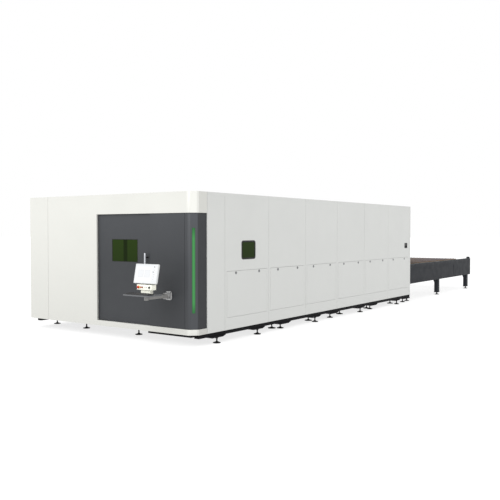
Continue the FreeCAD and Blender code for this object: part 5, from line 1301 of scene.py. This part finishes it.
class CUTTER_OT_console(bpy.types.Operator):
    """Builds the console's tray, swivel, neck and mast, and finishes its box"""

    bl_idname = "cutter.console"
    bl_label = "Console"

    def execute(self, context):
        low, high = span("console_tray")
        top = span("keyboard")[0][Z]
        x = (low[X] + high[X]) / 2
        self.shelf(low, high, top)
        self.swivel(low[Z], top - sizes().tray_thickness)
        self.neck(x, top)
        self.mast(x, top)
        finish_node(control_cream(), "control_box")
        softened("control_box", sizes().fold)
        self.box_screws(x)
        return {"FINISHED"}

    def shelf(self, low, high, top):
        """Keyboard tray with rounded corners and a raised lip."""
        thick, lip_inset = sizes().tray_thickness, 0.012
        x, y, _ = (low + high) / 2
        wide, deep, _ = high - low
        plate = block((wide, deep, thick), (x, y, top - thick / 2), corner=0.024, edge=0.0035)
        lip = edging(wide - lip_inset, deep - lip_inset, radius=0.018, lip=0.006, height=0.003)
        piece("console_shelf", joined(plate, moved(lip, (x, y, top))), "console", tray_grey(),
              ["console_tray"])

    def swivel(self, foot, tray_low):
        """Flange on the arm's hub, with its pin and the cap under it."""
        x, y, _ = hinge_place("console_swivel")
        arm_top = span("console_arm")[1][Z]
        radius = sizes().pin_radius - 0.0002
        flange = turned([(0.033, arm_top + CLEARANCE), (0.033, arm_top + 0.003),
                         (0.028, arm_top + 0.006), (0.028, tray_low)])
        pin = turned([(radius, foot), (radius, arm_top)], segments=24)
        cap = turned([(0.006, foot), (0.0095, foot + 0.001), (0.0095, foot + 0.003)], segments=24)
        piece("console_swivel", moved(joined(flange, pin, cap), (x, y, 0)), "console",
              bracket_silver())

    def neck(self, x, tray_top):
        """Block under the control box that reaches forward over the swivel."""
        low, high = span("control_box")
        wide, reach, lap = 0.186, 0.025, 0.004
        front = hinge_place("console_swivel")[Y] - reach
        neck = block((wide, high[Y] - front, low[Z] - tray_top + lap),
                     (x, (high[Y] + front) / 2, (low[Z] + tray_top) / 2), corner=0.012, edge=0.003)
        piece("console_neck", neck, "console", control_cream())

    def mast(self, x, foot):
        """Folded mast from the tray up to the monitor's hinge, with its knuckle."""
        hinge = hinge_place("monitor_tilt")
        wide, thick = sizes().mast_width, sizes().mast_thickness
        web_tall, reach = 0.040, sizes().knuckle_length / 2
        tall = hinge[Z] - foot - web_tall / 2
        mast = block((wide, thick, tall), (x, hinge[Y], foot + tall / 2), corner=0.004, edge=0.002)
        web = block((2 * reach, thick, web_tall), (x, hinge[Y], hinge[Z] - web_tall / 2),
                    corner=0.003, edge=0.002)
        knuckle = turned([(0.0065, -reach), (0.0130, -reach), (0.0140, -reach + 0.001),
                          (0.0140, reach - 0.001), (0.0130, reach), (0.0065, reach)],
                         segments=28, axis=X)
        piece("monitor_mast", joined(mast, web, moved(knuckle, hinge)), "console", tray_grey())

    def box_screws(self, x):
        """Screws in the corners of the control box's front."""
        low, high = span("control_box")
        screw, inset, seat = 0.0028, 0.009, 0.0001
        reach, _, rise = (high - low) / 2 - inset
        z = (low[Z] + high[Z]) / 2
        places = [(x + i, low[Y] - seat, z + k) for i, k in four_corners(reach, rise)]
        piece("control_box_screws", copies(socket_screw(screw), places), "console",
              black_oxide())


class CUTTER_OT_controls(bpy.types.Operator):
    """Turns the stop, start and reset buttons, the mode knob, their rings and the pilots"""

    bl_idname = "cutter.controls"
    bl_label = "Buttons and Knob"

    def execute(self, context):
        face = span("control_box")[0][Y]
        rows = (("emergency_stop", "stop_button", "mushroom_stop", mushroom, stop_red, "stop_red"),
                ("start_button", "start", "start_cap", lit_cap, start_orange, "start_orange"),
                ("reset_button", "reset", "reset_cap", lit_cap, reset_red, "reset_amber"),
                ("mode_switch", "mode", "mode_knob", knob, black_plastic, "latch_black"))
        rings = []
        for node, body, name, shape_of, paint, slot in rows:
            low, high = span(node)
            radius = (high[X] - low[X]) / 2
            centre = ((low[X] + high[X]) / 2, 0.0, (low[Z] + high[Z]) / 2)
            shape = shape_of(radius, low[Y], face, high[Y])
            piece(name, moved(shape, centre), body, paint(), [node])
            if node == "emergency_stop":
                yellow = turned(collar(radius + 0.0022, 0.0100, face), segments=40, axis=Y)
                piece("stop_ring", moved(yellow, centre), "console", signal_yellow())
            else:
                ring = turned(collar(radius + 0.0035, 0.0068, face), axis=Y)
                rings.append(moved(ring, centre))
        piece("button_rings", joined(*rings), "console", black_plastic())
        self.pilots(face)
        return {"FINISHED"}

    def pilots(self, face):
        """Two pilot lights between the reset button and the knob: a rim and a low dome."""
        reset, knob_place = middle("reset_button"), middle("mode_switch")
        radius, height = sizes().pilot_radius, sizes().pilot_radius * 0.45
        rim = [(radius, face), (radius, face - height * 0.7), (radius * 0.86, face - height)]
        light = turned(rim + dome(radius * 0.80, -height, face - height), segments=28, axis=Y)
        centre = (reset[X] + knob_place[X]) / 2
        places = [(centre + k * sizes().pilot_pitch / 2, 0.0, reset[Z]) for k in (-1, 1)]
        piece("pilot_lights", copies(light, places), "console", black_plastic())


def collar(radius, bore, face, height=0.0022):
    """Profile of a low ring with a rounded outer rim, standing off the box."""
    return [(bore, face), (radius, face), (radius, face - height * 0.6),
            (radius - 0.001, face - height), (bore + 0.001, face - height),
            (bore, face - height * 0.8)]


def mushroom(radius, front, face, back):
    """Stop button: a shallow dome on a waisted neck, then the stem through the box."""
    crown = 0.006
    body = [(0.0085, back), (0.0085, face - 0.005), (0.0120, face - 0.0075),
            (0.0125, face - 0.011), (radius - 0.002, front + 0.0085), (radius, front + 0.0065)]
    return turned(body + dome(radius, -crown, front + crown), segments=40, axis=Y)


def lit_cap(radius, front, face, back):
    """Push button: a flat lens with a rounded edge and a shallow dish on its stem."""
    return turned([(0.0055, back), (0.0055, face - 0.005), (radius, face - 0.0052),
                   (radius, front + 0.0015), (radius - 0.0015, front), (radius * 0.72, front),
                   (radius * 0.55, front + 0.0008)], axis=Y)


def knob(radius, front, face, back):
    """Rotary knob: a skirted turning with a grip bar whose ends are rounded."""
    skirt = face - 0.013
    base = turned([(0.0055, back), (0.0055, face - 0.005), (radius - 0.001, face - 0.0052),
                   (radius, face - 0.0065), (radius - 0.0015, skirt + 0.0012),
                   (radius - 0.003, skirt)], segments=36, axis=Y)
    wide, lap = 0.008, 0.002
    grip = block((wide, skirt - front + lap, 2 * radius), (0, (skirt + front + lap) / 2, 0),
                 corner=0.0035, edge=0.0015, axis=Y)
    return joined(base, grip)


class CUTTER_OT_keyboard(bpy.types.Operator):
    """Lays the keyboard: a case and its dished keys"""

    bl_idname = "cutter.keyboard"
    bl_label = "Keyboard"

    def execute(self, context):
        low, high = span("keyboard")
        x, y, _ = (low + high) / 2
        tall = high[Z] - low[Z] - sizes().key_height
        case = block((high[X] - low[X], high[Y] - low[Y], tall), (x, y, low[Z] + tall / 2),
                     corner=0.008, edge=0.003)
        piece("keyboard_case", case, "console", black_plastic(), ["keyboard"])
        keys = joined(*self.keys(low[X], high[Y], low[Z] + tall))
        piece("keyboard_keys", keys, "console", key_plastic(), smooth=50)
        return {"FINISHED"}

    def keys(self, left, back, base):
        """Rows of keys from the back: widths in key pitches, stretched to one row's
        length, then the two blocks of three to their right."""
        pitch, row_length = sizes().key_pitch, 14.5
        left, back = left + 0.012, back - 0.016
        rows = ([1] * 14, [1] * 13 + [1.5], [1.5] + [1] * 12 + [1], [1.75] + [1] * 11 + [1.75],
                [2.25] + [1] * 10 + [2.25], [1.25] * 3 + [6.25] + [1.25] * 3)
        keys = []
        for line, widths in enumerate(rows):
            widths = np.array(widths, float)
            scale = row_length / widths.sum()
            starts = (np.cumsum(widths) - widths) * scale
            y = back - pitch * (line + (0.25 if line else 0.0))
            keys += [key_cap(left + pitch * (s + w * scale / 2), y, base, pitch * w * scale)
                     for s, w in zip(starts, widths)]
            for start, count in ((15.0, 3), (18.4, 3 if line else 0)):
                keys += [key_cap(left + pitch * (start + k + 0.5), y, base, pitch)
                         for k in range(count)]
        return keys


def key_cap(x, y, base, width):
    """One key: rounded rectangles that shrink upwards to a slightly dished top."""
    gap, tall = 0.0022, sizes().key_height
    w, d = width - gap, sizes().key_pitch - gap
    rings = [(w, d, 0.0012, 0.0), (w * 0.97, d * 0.96, 0.0015, tall * 0.5),
             (w - 0.004, d - 0.0045, 0.002, tall), (w - 0.007, d - 0.0075, 0.002, tall - 0.0004)]
    return moved(stacked(rings, 2), (x, y, base))


class CUTTER_OT_monitor(bpy.types.Operator):
    """Moulds the monitor's case, its bezel, vents and hinge lugs, and lights its screen"""

    bl_idname = "cutter.monitor"
    bl_label = "Monitor"

    def execute(self, context):
        place = {"at": hinge_place("monitor_tilt"),
                 "turn": rotation(-sizes().monitor_tilt, "X")}
        wide, tall = sizes().monitor_width, sizes().monitor_height
        bezel, back = sizes().monitor_bezel, -sizes().monitor_standoff
        front = back - sizes().monitor_depth
        # How far each ring of the case is drawn in, its corner radius and its level.
        rings = ((0.060, 0.012, back), (0.034, 0.014, back - 0.001),
                 (0.010, 0.014, back - 0.014), (0.001, 0.014, back - 0.017),
                 (0.0, 0.014, back - 0.020), (0.0, 0.014, front + 0.006),
                 (0.0015, 0.0135, front + 0.002), (0.006, 0.012, front),
                 (2 * bezel - 0.002, 0.005, front), (2 * bezel, 0.004, front + 0.001),
                 (2 * bezel, 0.004, front + 0.0035))
        case = stacked([(wide - i, tall - i, r, y) for i, r, y in rings], 5, axis=Y)
        shape = moved(joined(case, *self.hinge_lugs(back)), **place)
        piece("monitor_case", shape, "display", monitor_plastic(), ["monitor"])
        self.vents(wide, tall, back, place)
        self.screen(wide - 2 * bezel, tall - 2 * bezel, front + 0.0012, place)
        return {"FINISHED"}

    def hinge_lugs(self, back):
        """Two bored lugs on webs from the case, and the pin through them."""
        reach, width = sizes().lug_reach, sizes().lug_width
        lug = turned([(0.0062, 0.0), (0.011, 0.0), (0.012, 0.001), (0.012, width - 0.001),
                      (0.011, width), (0.0062, width)], segments=24, axis=X)
        web_tall, lap = 0.020, 0.002
        web = block((width, lap - back, web_tall), (width / 2, (back - lap) / 2, 0), edge=0.001)
        pin = turned([(0.0045, -reach - 0.002), (0.0058, -reach - 0.001),
                      (0.0058, reach + 0.001), (0.0045, reach + 0.002)], segments=20, axis=X)
        starts = [(-reach, 0, 0), (reach - width, 0, 0)]
        return copies(lug, starts), copies(web, starts), pin

    def vents(self, wide, tall, back, place):
        """Rows of raised bars on the case's rear, and the plug."""
        first, pitch, count = 0.045, 0.009, 7
        bars = [block((wide * 0.5, 0.002, 0.0035),
                      (0, back + 0.0005, tall / 2 - first - pitch * i), edge=0.0008)
                for i in range(count)]
        plug = block((0.060, 0.003, 0.018), (0.10, back + 0.001, -tall / 2 + 0.050), edge=0.001)
        piece("monitor_vents", moved(joined(*bars, plug), **place), "display", black_plastic())

    def screen(self, wide, tall, y, place):
        """Thin glass with its picture on a UV map that runs over the front face."""
        gap, thick = 0.0006, 0.0015
        flat = stacked([(wide - gap, tall - gap, 0.003, y + thick),
                        (wide - gap, tall - gap, 0.003, y)], 3, axis=Y)
        share = np.c_[flat[0][:, X] / wide + 0.5, flat[0][:, Z] / tall + 0.5]
        obj = piece("screen_face", moved(flat, **place), "display", screen_glass(),
                    ["screen"])
        corners = np.empty(len(obj.data.loops), int)
        obj.data.loops.foreach_get("vertex_index", corners)
        layer = obj.data.uv_layers.new(name="face")
        layer.data.foreach_set("uv", share[corners].ravel())


class CUTTER_OT_changer(bpy.types.Operator):
    """Bolts the changer's feet to the floor"""

    bl_idname = "cutter.changer"
    bl_label = "Changer Fittings"

    def execute(self, context):
        ground = span("table_frame")[0][Z] + 0.001
        longest_foot, plate_thickness = 0.4, 0.012
        rise = sizes().foot_plate / 2 - 0.012
        screw = socket_screw(0.006, axis=Z, side=1)
        bolts = []
        for low, high in islands("table_frame"):
            if low[Z] < ground and high[Y] - low[Y] < longest_foot:
                x, y, _ = (low + high) / 2
                reach = (high[X] - low[X]) / 2 - 0.014
                places = [(x + i, y + k, low[Z] + plate_thickness)
                          for i, k in four_corners(reach, rise)]
                bolts.append(copies(screw, places))
        piece("changer_foot_bolts", joined(*bolts), "root", black_oxide())
        return {"FINISHED"}


class CUTTER_OT_studio(bpy.types.Operator):
    """Sets the pale floor, the soft light and the camera"""

    bl_idname = "cutter.studio"
    bl_label = "Studio"

    def execute(self, context):
        scene = bpy.context.scene
        studio = scene.cutter_studio
        scene.view_settings.view_transform = "Standard"
        reach = studio.floor_reach
        mesh = bpy.data.meshes.new("studio_floor")
        mesh.from_pydata([(-reach, -reach, 0), (reach, -reach, 0), (reach, reach, 0),
                          (-reach, reach, 0)], [], [(0, 1, 2, 3)])
        mesh.materials.append(pale_floor())
        floor = bpy.data.objects.new("studio_floor", mesh)
        scene.collection.objects.link(floor)
        world = bpy.data.worlds.new("studio_sky")
        world.use_nodes = True
        background = world.node_tree.nodes["Background"]
        background.inputs["Color"].default_value = (1, 1, 1, 1)
        background.inputs["Strength"].default_value = studio.sky
        scene.world = world
        key = bpy.data.objects.new("key_light", bpy.data.lights.new("key_light", "SUN"))
        key.data.energy = studio.key
        key.data.angle = studio.key_softness
        key.rotation_euler = (math.pi / 2 - studio.key_lift, 0, studio.key_turn)
        scene.collection.objects.link(key)
        camera = bpy.data.objects.new("camera", bpy.data.cameras.new("camera"))
        camera.data.lens = studio.lens
        camera.data.clip_end = 200.0
        camera.location = studio.eye
        camera.rotation_euler = (math.pi / 2 - studio.dip, 0, studio.turn)
        scene.collection.objects.link(camera)
        scene.camera = camera
        return {"FINISHED"}


class CUTTER_PT_panel(bpy.types.Panel):
    """Lists the machine's operators, sizes and colours."""

    bl_label = "Laser Cutter"
    bl_idname = "CUTTER_PT_panel"
    bl_space_type = "VIEW_3D"
    bl_region_type = "UI"
    bl_category = "Laser Cutter"

    def draw(self, context):
        for operator in OPERATORS:
            self.layout.operator(operator.bl_idname)
        for group, _ in GROUPS:
            settings = getattr(context.scene, group)
            column = self.layout.column()
            for key in settings.bl_rna.properties.keys():
                if key not in ("rna_type", "name"):
                    column.prop(settings, key)


OPERATORS = (
    CUTTER_OT_enclosure, CUTTER_OT_machine, CUTTER_OT_slats, CUTTER_OT_feet, CUTTER_OT_windows,
    CUTTER_OT_lamp, CUTTER_OT_door_handle, CUTTER_OT_hardware, CUTTER_OT_bracket, CUTTER_OT_arm,
    CUTTER_OT_console, CUTTER_OT_controls, CUTTER_OT_keyboard, CUTTER_OT_monitor, CUTTER_OT_changer,
    CUTTER_OT_studio,
)
GROUPS = (("cutter_sizes", CutterSizes), ("cutter_colours", CutterColours),
          ("cutter_studio", CutterStudio))


def register():
    """Registers the classes and hangs the settings on the scene."""
    for cls in (*[group for _, group in GROUPS], *OPERATORS, CUTTER_PT_panel):
        bpy.utils.register_class(cls)
    for name, group in GROUPS:
        setattr(bpy.types.Scene, name, PointerProperty(type=group))


def unregister():
    """Takes the settings and the classes away again."""
    for name, _ in GROUPS:
        delattr(bpy.types.Scene, name)
    for cls in (CUTTER_PT_panel, *OPERATORS[::-1], *[group for _, group in GROUPS]):
        bpy.utils.unregister_class(cls)


def main():
    """Builds everything in order."""
    register()
    for operator in OPERATORS:
        group, name = operator.bl_idname.split(".")
        getattr(getattr(bpy.ops, group), name)()


if __name__ == "__main__":
    main()
